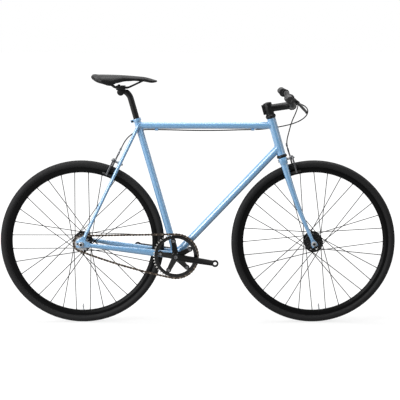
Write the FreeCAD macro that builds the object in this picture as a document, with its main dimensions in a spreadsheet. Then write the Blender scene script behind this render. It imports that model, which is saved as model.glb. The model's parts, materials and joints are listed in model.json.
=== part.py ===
import FreeCAD
import Part
import Sketcher
import math
import os
import re

# Fixed gear bicycle with a lugless steel frame, flat riser bar and two rim brakes.
# Millimetres. +X forwards, +Y to the rider's left, +Z up, and the drive side is at -Y.
# The origin lies on the ground, midway between the two axles.

SIZES = {
    # Wheels
    "wheelbase": 965.0,
    "tyre_height": 29.0,
    "tyre_width": 31.0,
    "tyre_foot_width": 13.0,
    "rim_diameter": 628.0,
    "rim_width": 20.0,
    "rim_depth": 22.0,
    "rim_nose_width": 8.0,
    "brake_track_height": 11.0,
    "spoke_count": 32,
    "spoke_crossings": 3,
    "spoke_thickness": 1.8,
    "spoke_circle_diameter": 70.0,
    "spoke_seat_depth": 1.5,
    "valve_diameter": 6.0,
    "valve_reach": 28.0,
    "front_valve_angle": 84.375,
    "rear_valve_angle": 90.0,
    # Hubs and axles
    "flange_diameter": 78.0,
    "flange_thickness": 3.6,
    "flange_spacing": 66.0,
    "flange_window_count": 6,
    "flange_window_inner": 20.0,
    "flange_window_outer": 30.0,
    "flange_window_width": 11.0,
    "hub_barrel_diameter": 30.0,
    "front_hub_length": 86.0,
    "front_hub_boss_diameter": 28.0,
    "rear_hub_length": 106.0,
    "rear_hub_boss_diameter": 34.0,
    "axle_diameter": 10.0,
    "axle_cone_diameter": 18.0,
    "front_dropout_spacing": 100.0,
    "rear_dropout_spacing": 120.0,
    "axle_overhang": 3.0,
    "axle_nut_height": 9.0,
    "axle_nut_flats": 15.0,
    "axle_washer_diameter": 22.0,
    "axle_washer_thickness": 2.5,
    # Drive
    "chain_pitch": 12.7,
    "chain_link_count": 94,
    "chain_sag": 8.0,
    "chain_line": 45.0,
    "chain_plate_height": 8.4,
    "chain_plate_thickness": 1.1,
    "chain_inner_width": 3.3,
    "roller_diameter": 7.7,
    "ring_teeth_count": 46,
    "cog_teeth_count": 16,
    "tooth_height": 3.0,
    "tooth_tip_width": 2.6,
    "sprocket_thickness": 2.9,
    "seat_clearance": 0.2,
    "ring_inner_diameter": 150.0,
    "bolt_circle_diameter": 130.0,
    "ring_tab_diameter": 22.0,
    "ring_bolt_count": 5,
    "ring_bolt_diameter": 8.0,
    "ring_bolt_head_diameter": 12.0,
    "ring_bolt_head_height": 1.8,
    "lockring_diameter": 46.0,
    "lockring_thickness": 4.0,
    # Cranks and bottom bracket
    "crank_length": 165.0,
    "crank_drop_angle": 9.2,
    "crank_inner_face": 59.0,
    "crank_thickness": 13.0,
    "crank_boss_diameter": 36.0,
    "crank_root_width": 28.0,
    "crank_tip_width": 21.0,
    "crank_eye_diameter": 29.0,
    "pedal_hole_diameter": 14.3,
    "spider_thickness": 5.0,
    "spider_root_width": 27.0,
    "spider_tip_width": 18.0,
    "spider_end_diameter": 20.0,
    "spindle_diameter": 17.0,
    "spindle_square": 12.7,
    "spindle_square_reach": 66.0,
    "spindle_round_reach": 45.0,
    "crank_bolt_diameter": 8.0,
    "crank_bolt_head_diameter": 15.0,
    "crank_bolt_head_height": 5.0,
    "crank_bolt_depth": 14.0,
    "shell_width": 68.0,
    "shell_diameter": 40.0,
    "shell_wall": 2.5,
    "cup_flange_diameter": 43.0,
    "cup_flange_thickness": 3.0,
    "cup_sleeve_length": 18.0,
    # Frame
    "bottom_bracket_drop": 54.0,
    "seat_tube_angle": 74.2,
    "seat_tube_length": 593.0,
    "seat_tube_diameter": 28.6,
    "head_angle": 74.0,
    "head_tube_length": 157.0,
    "head_tube_diameter": 36.0,
    "head_tube_wall": 1.6,
    "top_tube_height": 831.0,
    "top_tube_diameter": 28.6,
    "down_tube_diameter": 31.8,
    "down_tube_lift": 33.0,
    "tube_wall": 1.2,
    "stay_wall": 1.2,
    "chainstay_height": 33.0,
    "chainstay_width": 16.0,
    "chainstay_tip_diameter": 17.0,
    "chainstay_root_offset": 23.0,
    "chainstay_root_setback": 12.0,
    "seatstay_diameter": 14.0,
    "seatstay_top_drop": 30.0,
    "seatstay_top_offset": 17.5,
    "dropout_thickness": 6.0,
    "dropout_tab_width": 15.0,
    "seatstay_tab_reach": 34.0,
    "chainstay_tab_reach": 40.0,
    "dropout_tail": 21.0,
    "dropout_cheek_height": 14.0,
    "slot_front_reach": 13.0,
    "bridge_clearance": 23.0,
    "bridge_diameter": 15.0,
    "chainstay_bridge_setback": 36.0,
    "chainstay_bridge_diameter": 11.0,
    "collar_height": 12.0,
    "collar_wall": 3.2,
    "collar_ear_length": 12.0,
    "collar_ear_width": 17.0,
    "collar_slot_width": 2.4,
    "collar_bolt_diameter": 5.0,
    "collar_bolt_head_diameter": 8.5,
    "collar_bolt_head_height": 4.0,
    # Fork and headset
    "fork_rake": 29.3,
    "crown_clearance": 35.0,
    "steerer_diameter": 28.6,
    "steerer_wall": 2.6,
    "crown_height": 24.0,
    "crown_depth": 33.0,
    "crown_width": 86.0,
    "crown_corner_radius": 11.0,
    "blade_top_depth": 28.0,
    "blade_top_width": 19.0,
    "blade_tip_diameter": 13.5,
    "blade_wall": 1.3,
    "blade_station_count": 4,
    "blade_top_offset": 32.5,
    "fork_tip_thickness": 5.0,
    "fork_tip_reach": 17.0,
    "fork_tip_tail": 13.0,
    "headset_cup_diameter": 43.0,
    "headset_cup_height": 10.5,
    "headset_insert_depth": 14.0,
    "headset_cover_height": 5.0,
    "crown_race_height": 1.2,
    "spacer_height": 5.0,
    "spacer_diameter": 35.0,
    # Stem and bar
    "stem_height": 41.0,
    "stem_clamp_diameter": 36.0,
    "stem_length": 96.0,
    "stem_rise_angle": 8.5,
    "stem_arm_diameter": 31.0,
    "stem_bar_clamp_diameter": 39.0,
    "stem_bar_clamp_width": 42.0,
    "stem_seat_share": 0.5,
    "stem_slot_width": 2.2,
    "stem_ear_length": 8.0,
    "stem_ear_width": 20.0,
    "stem_bolt_diameter": 5.0,
    "stem_bolt_head_diameter": 8.5,
    "stem_bolt_head_height": 4.5,
    "face_plate_gap": 1.6,
    "face_plate_thickness": 8.0,
    "top_cap_diameter": 35.0,
    "top_cap_height": 6.0,
    "top_cap_bolt_diameter": 6.0,
    "bar_diameter": 22.2,
    "bar_wall": 2.0,
    "bar_centre_diameter": 31.8,
    "bar_centre_length": 56.0,
    "bar_taper_length": 16.0,
    "bar_width": 580.0,
    "bar_flat_share": 0.214,
    "bar_rise": 40.0,
    "bar_sweep_back": 32.0,
    "bar_rise_share": 0.421,
    "bar_rise_setback": 12.0,
    "bar_bend_radius": 55.0,
    "grip_share": 0.431,
    "grip_diameter": 31.0,
    "grip_collar_diameter": 36.0,
    "grip_collar_length": 5.0,
    "grip_cap_thickness": 4.0,
    # Brake levers
    "bracket_gap": 4.0,
    "bracket_width": 15.0,
    "bracket_wall": 4.0,
    "bracket_arm_diameter": 12.6,
    "lever_pivot_reach": 34.0,
    "lever_down_angle": 34.0,
    "lever_eye_diameter": 14.0,
    "lever_eye_height": 8.0,
    "lever_pin_diameter": 5.0,
    "clevis_plate_thickness": 3.5,
    "clevis_gap": 0.4,
    "lever_length": 118.0,
    "lever_tip_reach": 84.0,
    "lever_blade_height": 12.0,
    "lever_blade_thickness": 6.5,
    "lever_ball_diameter": 12.0,
    "adjuster_diameter": 8.0,
    "adjuster_length": 14.0,
    # Rim brakes
    "brake_bolt_diameter": 6.0,
    "brake_bolt_head_diameter": 11.0,
    "brake_bolt_head_height": 5.0,
    "brake_stand_off": 13.0,
    "brake_arm_thickness": 7.0,
    "brake_arm_gap": 0.4,
    "brake_arm_width": 9.5,
    "brake_boss_diameter": 19.0,
    "brake_arm_spread": 20.5,
    "brake_ear_reach": 33.0,
    "brake_ear_rise": 20.0,
    "brake_ear_width": 9.0,
    "pad_clearance": 2.2,
    "pad_height": 8.0,
    "pad_length": 44.0,
    "pad_overlap_drop": 8.0,
    # Cables
    "housing_diameter": 5.0,
    "housing_gap": 0.6,
    "housing_lead": 22.0,
    "guide_length": 13.0,
    "guide_wall": 1.4,
    # Saddle and seatpost
    "seatpost_diameter": 25.4,
    "seatpost_wall": 2.4,
    "seatpost_insertion": 105.0,
    "seatpost_straight": 85.0,
    "seatpost_bend_radius": 50.0,
    "seatpost_bend_angle": 54.0,
    "post_head_diameter": 30.0,
    "post_head_width": 34.0,
    "post_head_drop": 9.0,
    "saddle_length": 278.0,
    "saddle_width": 142.0,
    "saddle_height": 42.0,
    "saddle_lift": 178.0,
    "saddle_setback": 186.4,
    "rail_diameter": 7.0,
    "rail_half_spacing": 22.0,
    "rail_drop": 51.0,
    "rail_bend_radius": 26.0,
    "clamp_length": 36.0,
    "clamp_width": 56.0,
    "clamp_plate_thickness": 8.0,
    "clamp_split": 0.6,
    "clamp_bolt_setback": 15.0,
    "clamp_bolt_diameter": 6.0,
    "clamp_bolt_head_diameter": 10.0,
    "clamp_bolt_head_height": 5.0,
    "clamp_bolt_depth": 10.0,
    # Fits
    "running_clearance": 0.05,
    "turning_gap": 0.4,
    "cut_overrun": 5.0,
}

# Height and half width of the tyre's section, as shares of its height and of half its width.
TYRE_SECTION_SHARES = ((0.50, 1.0), (0.84, 0.76), (1.0, 0.24))

# Saddle stations from tail to nose: place along the length, half width, top and skirt height.
SADDLE_STATION_SHARES = (
    (0.00, 0.50, 0.95, 0.72),
    (0.05, 0.80, 1.00, 0.58),
    (0.16, 1.00, 1.00, 0.38),
    (0.30, 0.96, 0.99, 0.20),
    (0.42, 0.75, 0.96, 0.34),
    (0.50, 0.58, 0.93, 0.44),
    (0.65, 0.38, 0.86, 0.48),
    (0.81, 0.29, 0.76, 0.41),
    (0.93, 0.24, 0.66, 0.36),
    (1.00, 0.12, 0.57, 0.42),
)

# Corners of a saddle section: share of the half width and share of the height above the skirt.
SADDLE_CORNER_SHARES = ((0.0, 1.0), (0.55, 0.95), (0.88, 0.76), (1.0, 0.42), (0.97, 0.0), (0.70, 0.10))

# Rail run from nose to tail: place along the saddle, half spacing, height between clamp and saddle top.
RAIL_SHARES = ((0.80, 0.40, 0.63), (0.55, 0.9, 0.0), (0.36, 1.0, 0.0), (0.22, 1.4, 0.60))

# A corner of a cable's route is rounded back to this share of its shorter run.
CORD_ROUNDING_SHARE = 0.45

# An oval that is meant as round is drawn this much longer one way.
NEAR_ROUND_SHARE = 1.01

# The valve comes this share of a flange's spoke pitch after a spoke hole, between two near-parallel spokes.
VALVE_PITCH_SHARE = 1.75

# Width of a tooth gap at its foot, as a share of what a straight flank would leave.
TOOTH_FOOT_SHARE = 1.3

# A solved place may be out by this share of the running clearance, and a bent bar's volume by the other one.
SOLVED_SHARE = 0.02
VOLUME_SHARE = 0.02

# Height of a lever's blade at its tip, as a share of its height in the middle.
LEVER_TIP_SHARE = 0.75

# Corners of a calliper arm: across as shares of the boss radius, the spread and the arm's width, and
# upwards as shares of the boss radius and the drop to the pad.
ARM_SHARES = (
    (-0.5, 0.0, 0.0, 0.6, 0.0),
    (0.5, 0.0, 0.0, 1.0, 0.0),
    (0.0, 1.0, 0.4, 0.36, 0.0),
    (0.0, 1.0, 1.0, -1.2, 0.0),
    (0.0, 1.0, 1.0, 0.0, -1.0),
    (0.0, 1.0, 0.0, 0.0, -1.0),
    (0.0, 1.0, 0.0, -1.9, 0.0),
    (1.0, 0.0, 0.0, -0.9, 0.0),
    (-0.5, 0.0, 0.0, -0.8, 0.0),
)

# Foot of a calliper's cable ear below and above its bolt, as shares of the boss radius, and the far end's
# rise as a share of the full rise: for the arm that carries the adjuster, and for the other one.
STOP_EAR_SHARES = (-0.47, 0.9, 1.0)
PLAIN_EAR_SHARES = (-0.4, 0.47, -0.1)

# Hand-laid middles of the cable routes, lever or guide first, each from the point that carries it:
# the middle of the bar, the fork crown, or an end of the top tube.
FRONT_HOUSING_BAR_ROUTE = ((35.3, 88.0, 0.0), (25.3, 62.0, -31.0))
FRONT_HOUSING_CROWN_ROUTE = ((38.9, 44.0, 159.0), (26.9, 36.0, 117.0))
REAR_HOUSING_BAR_ROUTE = (
    (48.3, -93.0, 3.0),
    (63.3, -68.0, -15.0),
    (60.3, -38.0, -40.0),
    (38.3, -8.0, -63.0),
    (3.3, 16.0, -80.0),
)
REAR_HOUSING_HEAD_ROUTE = (
    (37.9, 30.0, -7.0),
    (-4.1, 31.0, -14.0),
    (-38.1, 16.0, -16.8),
    (-62.1, 3.0, -17.3),
    (-74.1, 0.0, -17.4),
)
REAR_HOUSING_FRONT_ROUTE = (
    (-76.6, 0.0, -17.4),
    (-142.1, 0.0, -18.6),
    (-196.1, 0.0, -20.4),
    (-256.1, 0.0, -21.3),
)
REAR_HOUSING_SEAT_ROUTE = (
    (242.3, 0.0, -21.1),
    (184.3, 0.0, -20.1),
    (126.3, 0.0, -18.5),
    (52.3, 0.0, -17.2),
    (20.3, 13.0, -19.0),
    (-3.7, 30.0, -25.0),
    (-27.7, 38.0, -38.0),
    (-53.7, 38.0, -60.0),
)

# Middles of the two clips that hold the rear housing under the top tube, from the tube's two ends.
FRONT_GUIDE_PLACE = (-84.1, 0.0, -17.5)
REAR_GUIDE_PLACE = (74.3, 0.0, -17.6)

UP = FreeCAD.Vector(0, 0, 1)
AHEAD = FreeCAD.Vector(1, 0, 0)
LEFT = FreeCAD.Vector(0, 1, 0)
SIDES = (-1, 1)

doc = FreeCAD.newDocument("fixed_gear_bicycle")
sheet = doc.addObject("Spreadsheet::Sheet", "Sizes")
for row, (alias, number) in enumerate(SIZES.items(), start=1):
    sheet.set(f"A{row}", alias)
    sheet.set(f"B{row}", str(number))
    sheet.setAlias(f"B{row}", alias)
doc.recompute()

nodes = {}
swept_lengths = {}


def size(alias):
    """Reads one driving dimension from the sheet."""
    return float(sheet.get(alias))


def bound(formula):
    """Turns a formula of plain size names into one that reads the sheet."""
    return re.sub(r"[a-z][a-z_]+", lambda word: "Sizes." + word.group(), formula)


def bind(item, prop, formula):
    """Ties a property to a formula, or sets it where the value is already a number."""
    if isinstance(formula, str):
        item.setExpression(prop, bound(formula))
    else:
        setattr(item, prop, formula)


def keep(node, item):
    """Names a finished sub-part."""
    item.Label = node
    nodes[node] = item
    return item


def point(x, y, z):
    """A place in the bicycle's frame."""
    return FreeCAD.Vector(x, y, z)


def unit(vector):
    """The vector's direction."""
    return FreeCAD.Vector(vector).normalize()


def frame_at(origin, axis, across=None):
    """Placement whose own Z runs along an axis and whose own X leans towards another direction."""
    z_axis = unit(axis)
    if across is None:
        across = AHEAD if abs(z_axis.dot(AHEAD)) < abs(z_axis.dot(LEFT)) else LEFT
    y_axis = unit(z_axis.cross(across))
    x_axis = y_axis.cross(z_axis)
    return FreeCAD.Placement(origin, FreeCAD.Rotation(x_axis, y_axis, z_axis, "ZXY"))


def cylinder(name, start, finish, diameter, reach=0.0):
    """Round bar from start to finish, made longer at both ends by reach."""
    axis = finish.sub(start)
    bar = doc.addObject("Part::Cylinder", name)
    bind(bar, "Radius", f"({diameter}) / 2")
    bar.Height = axis.Length + 2 * reach
    bar.Placement = frame_at(start - unit(axis) * reach, axis)
    return bar


def box(name, length, width, height, placement):
    """Block centred on its placement in X and Y, standing on it in Z."""
    block = doc.addObject("Part::Box", name)
    for prop, formula in (("Length", length), ("Width", width), ("Height", height)):
        bind(block, prop, formula)
    doc.recompute([block])
    shift = FreeCAD.Placement(point(-block.Length.Value / 2, -block.Width.Value / 2, 0), FreeCAD.Rotation())
    block.Placement = placement.multiply(shift)
    return block


def cut(name, base, *tools):
    """Takes tools away from a base."""
    result = doc.addObject("Part::Cut", name)
    result.Base = base
    result.Tool = tools[0] if len(tools) == 1 else fuse(name + "_tools", *tools)
    return result


def fuse(name, *items):
    """Joins shapes into one."""
    result = doc.addObject("Part::MultiFuse", name)
    result.Shapes = list(items)
    return result


def group(node, *items):
    """Keeps separate solids together as one sub-part."""
    result = doc.addObject("Part::Compound", node + "_group")
    result.Links = list(items)
    return keep(node, result)


def coded(name, shape, placement=None):
    """Sub-part whose shape is worked out in code from the sheet's sizes."""
    item = doc.addObject("Part::Feature", name)
    item.Shape = shape
    if placement is not None:
        item.Placement = placement
    return item


def new_body(name, placement):
    """Empty body at its place."""
    body = doc.addObject("PartDesign::Body", name)
    body.Placement = placement
    return body


def origin_feature(body, role):
    """One of the body's own planes or axes."""
    return next(item for item in body.Origin.OriginFeatures if item.Role == role)


def new_sketch(body, role, lift=0.0, turn=0.0):
    """Sketch on one of the body's planes, lifted along and turned about its normal (degrees)."""
    sketch = body.newObject("Sketcher::SketchObject", body.Name + "_sketch")
    sketch.AttachmentSupport = [(origin_feature(body, role), "")]
    sketch.MapMode = "FlatFace"
    sketch.AttachmentOffset = FreeCAD.Placement(point(0, 0, 0), FreeCAD.Rotation(UP, turn))
    if isinstance(lift, str):
        sketch.setExpression("AttachmentOffset.Base.z", bound(lift))
    return sketch


def fix_value(sketch, kind, first, second, value, start):
    """Adds a horizontal or vertical distance from the sketch's origin and ties it to its value."""
    number = start if isinstance(value, str) else value
    index = sketch.addConstraint(Sketcher.Constraint(kind, -1, 1, first, second, number))
    if isinstance(value, str):
        sketch.setExpression(f"Constraints[{index}]", bound(value))


def draw_outline(sketch, corners):
    """Closed outline through corners, each a pair of formulas or numbers."""
    count = len(corners)
    starts = []
    for index, (x, y) in enumerate(corners):
        turn = 2 * math.pi * index / count
        start_x = math.cos(turn) if isinstance(x, str) else x
        start_y = math.sin(turn) if isinstance(y, str) else y
        starts.append(point(start_x, start_y, 0))
    for index in range(count):
        sketch.addGeometry(Part.LineSegment(starts[index], starts[(index + 1) % count]))
    for index in range(count):
        sketch.addConstraint(Sketcher.Constraint("Coincident", index, 2, (index + 1) % count, 1))
    for index, (x, y) in enumerate(corners):
        fix_value(sketch, "DistanceX", index, 1, x, starts[index].x)
        fix_value(sketch, "DistanceY", index, 1, y, starts[index].y)
    return sketch


def draw_circle(sketch, diameter, x=None):
    """Circle on the sketch's X axis, at its origin where no distance is given."""
    index = sketch.addGeometry(Part.Circle(point(sketch.GeometryCount, 0, 0), UP, 1.0 + sketch.GeometryCount))
    if x is None:
        sketch.addConstraint(Sketcher.Constraint("Coincident", index, 3, -1, 1))
    else:
        sketch.addConstraint(Sketcher.Constraint("PointOnObject", index, 3, -1))
        fix_value(sketch, "DistanceX", index, 3, x, 1.0)
    radius = sketch.addConstraint(Sketcher.Constraint("Radius", index, 1.0))
    sketch.setExpression(f"Constraints[{radius}]", bound(f"({diameter}) / 2"))
    return sketch


def pad(body, sketch, length, middle=False):
    """Raises a sketch into a solid."""
    feature = body.newObject("PartDesign::Pad", body.Name + "_pad")
    feature.Profile = sketch
    bind(feature, "Length", length)
    if middle:
        feature.SideType = "Symmetric"
    return feature


def pocket_through(body, sketch):
    """Cuts a sketch right through in both directions."""
    feature = body.newObject("PartDesign::Pocket", body.Name + "_pocket")
    feature.Profile = sketch
    feature.Type = "ThroughAll"
    feature.SideType = "Symmetric"
    return feature


def polar(body, feature, count):
    """Repeats a feature about the body's Z axis."""
    pattern = body.newObject("PartDesign::PolarPattern", body.Name + "_pattern")
    pattern.Originals = [feature]
    pattern.Axis = (origin_feature(body, "Z_Axis"), [""])
    pattern.Angle = 360
    bind(pattern, "Occurrences", count)
    body.Tip = pattern
    return pattern


def turned(name, corners, placement):
    """Solid turned about its own Z axis from corners of radius and height."""
    body = new_body(name, placement)
    sketch = draw_outline(new_sketch(body, "XZ_Plane"), corners)
    feature = body.newObject("PartDesign::Revolution", name + "_turn")
    feature.Profile = sketch
    feature.ReferenceAxis = (origin_feature(body, "Z_Axis"), [""])
    feature.Angle = 360
    return body


def ring(name, outer, inner, height, placement):
    """Plain ring or washer standing on its placement."""
    body = new_body(name, placement)
    sketch = draw_circle(draw_circle(new_sketch(body, "XY_Plane"), outer), inner)
    pad(body, sketch, height)
    return body


def route_wire(points, bend_radius=None):
    """Straight runs joined by tangent arcs, and the radius of each arc."""
    edges = []
    radii = []
    start = points[0]
    for before, corner, after in zip(points, points[1:], points[2:]):
        back = unit(before - corner)
        ahead = unit(after - corner)
        half_turn = (math.pi - back.getAngle(ahead)) / 2
        run = min(before.distanceToPoint(corner), after.distanceToPoint(corner))
        setback = CORD_ROUNDING_SHARE * run
        if bend_radius is not None:
            setback = bend_radius * math.tan(half_turn)
        radius = setback / math.tan(half_turn)
        middle = corner + unit(back + ahead) * (radius / math.cos(half_turn) - radius)
        first = corner + back * setback
        last = corner + ahead * setback
        edges.append(Part.LineSegment(start, first).toShape())
        edges.append(Part.Arc(first, middle, last).toShape())
        radii.append(radius)
        start = last
    edges.append(Part.LineSegment(start, points[-1]).toShape())
    return Part.Wire(edges), radii


def swept(name, diameter, points, bend_radius=None):
    """Round bar bent along a route."""
    wire, radii = route_wire(points, bend_radius)
    spine = coded(name + "_route", wire)
    section = doc.addObject("Part::Circle", name + "_section")
    bind(section, "Radius", f"({diameter}) / 2")
    section.Placement = frame_at(points[0], points[1] - points[0])
    bar = doc.addObject("Part::Sweep", name)
    bar.Sections = [section]
    bar.Spine = (spine, [f"Edge{index + 1}" for index in range(len(wire.Edges))])
    bar.Solid = True
    bar.Frenet = False
    swept_lengths[bar.Name] = (section, wire.Length)
    if bend_radius is None:
        print(name, "bend radii", [round(radius, 1) for radius in radii])
    return bar


def swept_tube(name, diameter, wall, points, bend_radius):
    """Bent tube, open at both ends."""
    outside = swept(name + "_outside", diameter, points, bend_radius)
    inside = swept(name + "_inside", f"({diameter}) - 2 * {wall}", points, bend_radius)
    return cut(name, outside, inside)


def loft(name, sections):
    """Solid through oval sections: centre, direction, long way, long and short diameters."""
    ovals = []
    for centre, direction, long_way, long_diameter, short_diameter in sections:
        oval = doc.addObject("Part::Ellipse", name + "_section")
        bind(oval, "MajorRadius", f"({long_diameter}) / 2")
        bind(oval, "MinorRadius", f"({short_diameter}) / 2")
        oval.Placement = frame_at(centre, direction, long_way)
        ovals.append(oval)
    result = doc.addObject("Part::Loft", name)
    result.Sections = ovals
    result.Solid = True
    result.Ruled = len(ovals) == 2
    return result


def hex_nut(name, flats, height, bore, washer, washer_height, placement):
    """Six-sided nut on its washer, standing on its placement."""
    seat = placement.multiply(FreeCAD.Placement(point(0, 0, size(washer_height)), FreeCAD.Rotation()))
    prism = doc.addObject("Part::Prism", name + "_prism")
    prism.Polygon = 6
    prism.Circumradius = size(flats) / math.sqrt(3)
    bind(prism, "Height", height)
    prism.Placement = seat
    disc = doc.addObject("Part::Cylinder", name + "_washer")
    bind(disc, "Radius", f"{washer} / 2")
    bind(disc, "Height", washer_height)
    disc.Placement = placement
    hole = doc.addObject("Part::Cylinder", name + "_bore")
    bind(hole, "Radius", f"{bore} / 2")
    bind(hole, "Height", f"{height} + {washer_height}")
    hole.Placement = placement
    return cut(name, fuse(name + "_solid", prism, disc), hole)


def bolt(name, start, finish, diameter, head_diameter, head_height):
    """Bolt whose shank runs from under its head, at start, to finish."""
    axis = unit(finish - start)
    shank = cylinder(name + "_shank", start, finish, diameter)
    head = cylinder(name + "_head", start - axis * size(head_height), start, head_diameter)
    return fuse(name, shank, head)


# Chain loop in the drive plane, with the chainring at its origin and the cog at minus X.


def pitch_radius(teeth):
    """Radius of the circle through a sprocket's rollers."""
    return size("chain_pitch") / (2 * math.sin(math.pi / size(teeth)))


def chain_loop(centre_distance):
    """Pieces of the loop: upper run, ring, sagging lower run and cog, each with its length."""
    ring_radius = pitch_radius("ring_teeth_count")
    cog_radius = pitch_radius("cog_teeth_count")
    sag_radius = centre_distance ** 2 / (8 * size("chain_sag"))
    lean = math.acos((cog_radius - ring_radius) / centre_distance)
    run = math.sqrt(centre_distance ** 2 - (ring_radius - cog_radius) ** 2)
    ring_gap = sag_radius - ring_radius
    cog_gap = sag_radius - cog_radius
    sag_x = (cog_gap ** 2 - ring_gap ** 2 - centre_distance ** 2) / (2 * centre_distance)
    sag_z = math.sqrt(ring_gap ** 2 - sag_x ** 2)
    ring_leave = math.atan2(-sag_z, -sag_x)
    cog_meet = math.atan2(-sag_z, -centre_distance - sag_x)
    cog_centre = (-centre_distance, 0.0)
    upper_x = cog_radius * math.cos(lean) - centre_distance
    upper = ((upper_x, cog_radius * math.sin(lean)), lean - math.pi / 2)
    return (
        ("run", upper, run),
        ("arc", ((0.0, 0.0), ring_radius, lean), ring_radius * (lean - ring_leave)),
        ("arc", ((sag_x, sag_z), sag_radius, ring_leave), sag_radius * (ring_leave - cog_meet)),
        ("arc", (cog_centre, cog_radius, cog_meet), cog_radius * (cog_meet - lean + 2 * math.pi)),
    )


def loop_point(loop, distance):
    """Place on the loop after a distance from the start of the upper run."""
    for kind, shape, length in loop:
        if distance <= length:
            break
        distance -= length
    else:
        kind, shape, length = loop[0]
    if kind == "run":
        (x, z), heading = shape
        return x + distance * math.cos(heading), z + distance * math.sin(heading)
    (x, z), radius, start = shape
    turn = start - distance / radius
    return x + radius * math.cos(turn), z + radius * math.sin(turn)


def walk_chain(centre_distance):
    """Roller places one pitch apart, and how far the last one overshoots the first."""
    pitch = size("chain_pitch")
    loop = chain_loop(centre_distance)
    total = sum(length for kind, shape, length in loop)
    distance = 0.0
    places = [loop_point(loop, distance)]
    for link in range(int(size("chain_link_count"))):
        step = pitch
        for attempt in range(4):
            reached = loop_point(loop, distance + step)
            step += pitch - math.dist(places[-1], reached)
        distance += step
        places.append(loop_point(loop, distance))
    return places[:-1], distance - total


def fit_chain():
    """Centre distance at which the chain closes with its sag, and the roller places."""
    teeth = (size("ring_teeth_count") + size("cog_teeth_count")) / 2
    middle = (size("chain_link_count") - teeth) * size("chain_pitch") / 2
    low = middle - 2 * size("chain_pitch")
    high = middle + 2 * size("chain_pitch")
    while high - low > SOLVED_SHARE ** 2 * size("running_clearance"):
        middle = (low + high) / 2
        places, overshoot = walk_chain(middle)
        if overshoot > 0:
            low = middle
        else:
            high = middle
    return middle, places


# Main points and directions of the bicycle.
chain_centres, roller_places = fit_chain()
wheel_radius = size("rim_diameter") / 2 + size("tyre_height")
rear_axle = point(-size("wheelbase") / 2, 0, wheel_radius)
front_axle = point(size("wheelbase") / 2, 0, wheel_radius)
drop = size("bottom_bracket_drop")
bracket = rear_axle + point(math.sqrt(chain_centres ** 2 - drop ** 2), 0, -drop)
drive_ahead = unit(bracket - rear_axle)
drive_up = unit(drive_ahead.cross(LEFT))
seat_lean = math.radians(size("seat_tube_angle"))
seat_up = point(-math.cos(seat_lean), 0, math.sin(seat_lean))
seat_back = point(-math.sin(seat_lean), 0, -math.cos(seat_lean))
seat_top = bracket + seat_up * size("seat_tube_length")
head_lean = math.radians(size("head_angle"))
steer_up = point(-math.cos(head_lean), 0, math.sin(head_lean))
steer_ahead = point(math.sin(head_lean), 0, math.cos(head_lean))
fork_foot = front_axle - steer_ahead * size("fork_rake")
fork_length = wheel_radius + size("crown_clearance")
race_height = fork_length + size("crown_race_height")
head_low = race_height + size("turning_gap") + size("headset_cup_height")
head_bottom = fork_foot + steer_up * head_low
head_top = head_bottom + steer_up * size("head_tube_length")
down_meet = head_bottom + steer_up * size("down_tube_lift")


def on_line(start, direction, height):
    """Where a slanting line in the middle plane reaches a height."""
    return start + direction * ((height - start.z) / direction.z)


top_front = on_line(head_bottom, steer_up, size("top_tube_height"))
top_rear = on_line(bracket, seat_up, size("top_tube_height"))
overrun = size("cut_overrun")


def tube(node, start, finish, diameter, inner, tools=()):
    """Straight tube between two axis points, mitred by its neighbours."""
    outside = cylinder(node + "_outside", start, finish, diameter)
    inside = cylinder(node + "_inside", start, finish, inner, overrun)
    return keep(node, cut(node, outside, inside, *tools))


def miter(name, start, finish, diameter):
    """Outer round of a neighbouring tube, used to shape a tube's end."""
    return cylinder(name, start, finish, diameter, overrun)


# Frame tubes


def build_main_tubes():
    """Head, top, seat and down tubes and the bottom bracket shell."""
    half_shell = LEFT * (size("shell_width") / 2)
    shell_round = miter("shell_round", bracket - half_shell, bracket + half_shell, "shell_diameter")
    head_round = miter("head_round", head_bottom, head_top, "head_tube_diameter")
    seat_round = miter("seat_round", bracket, seat_top, "seat_tube_diameter")
    tube("head_tube", head_bottom, head_top, "head_tube_diameter", "head_tube_diameter - 2 * head_tube_wall")
    bore = "seatpost_diameter + 2 * running_clearance"
    tube("seat_tube", bracket, seat_top, "seat_tube_diameter", bore, [shell_round])
    inner = "top_tube_diameter - 2 * tube_wall"
    tube("top_tube", top_rear, top_front, "top_tube_diameter", inner, [seat_round, head_round])
    inner = "down_tube_diameter - 2 * tube_wall"
    tools = [seat_round, head_round, shell_round]
    tube("down_tube", bracket, down_meet, "down_tube_diameter", inner, tools)
    inner = "shell_diameter - 2 * shell_wall"
    tube("bottom_bracket_shell", bracket - half_shell, bracket + half_shell, "shell_diameter", inner)
    return shell_round, seat_round


shell_round, seat_round = build_main_tubes()
dropout_middle = (size("rear_dropout_spacing") + size("dropout_thickness")) / 2
stay_top = seat_top - seat_up * size("seatstay_top_drop")
seatstay_lean = unit(stay_top - rear_axle)
seatstay_end = rear_axle + seatstay_lean * size("seatstay_tab_reach")
chainstay_lean = unit(bracket - rear_axle)
chainstay_end = rear_axle + chainstay_lean * size("chainstay_tab_reach")


def stay_ends(side):
    """Both ends of a seatstay and of a chainstay on one side."""
    offset = LEFT * (side * size("seatstay_top_offset"))
    root = LEFT * (side * size("chainstay_root_offset")) - chainstay_lean * size("chainstay_root_setback")
    foot = LEFT * (side * dropout_middle)
    return stay_top + offset, seatstay_end + foot, bracket + root, chainstay_end + foot


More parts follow.
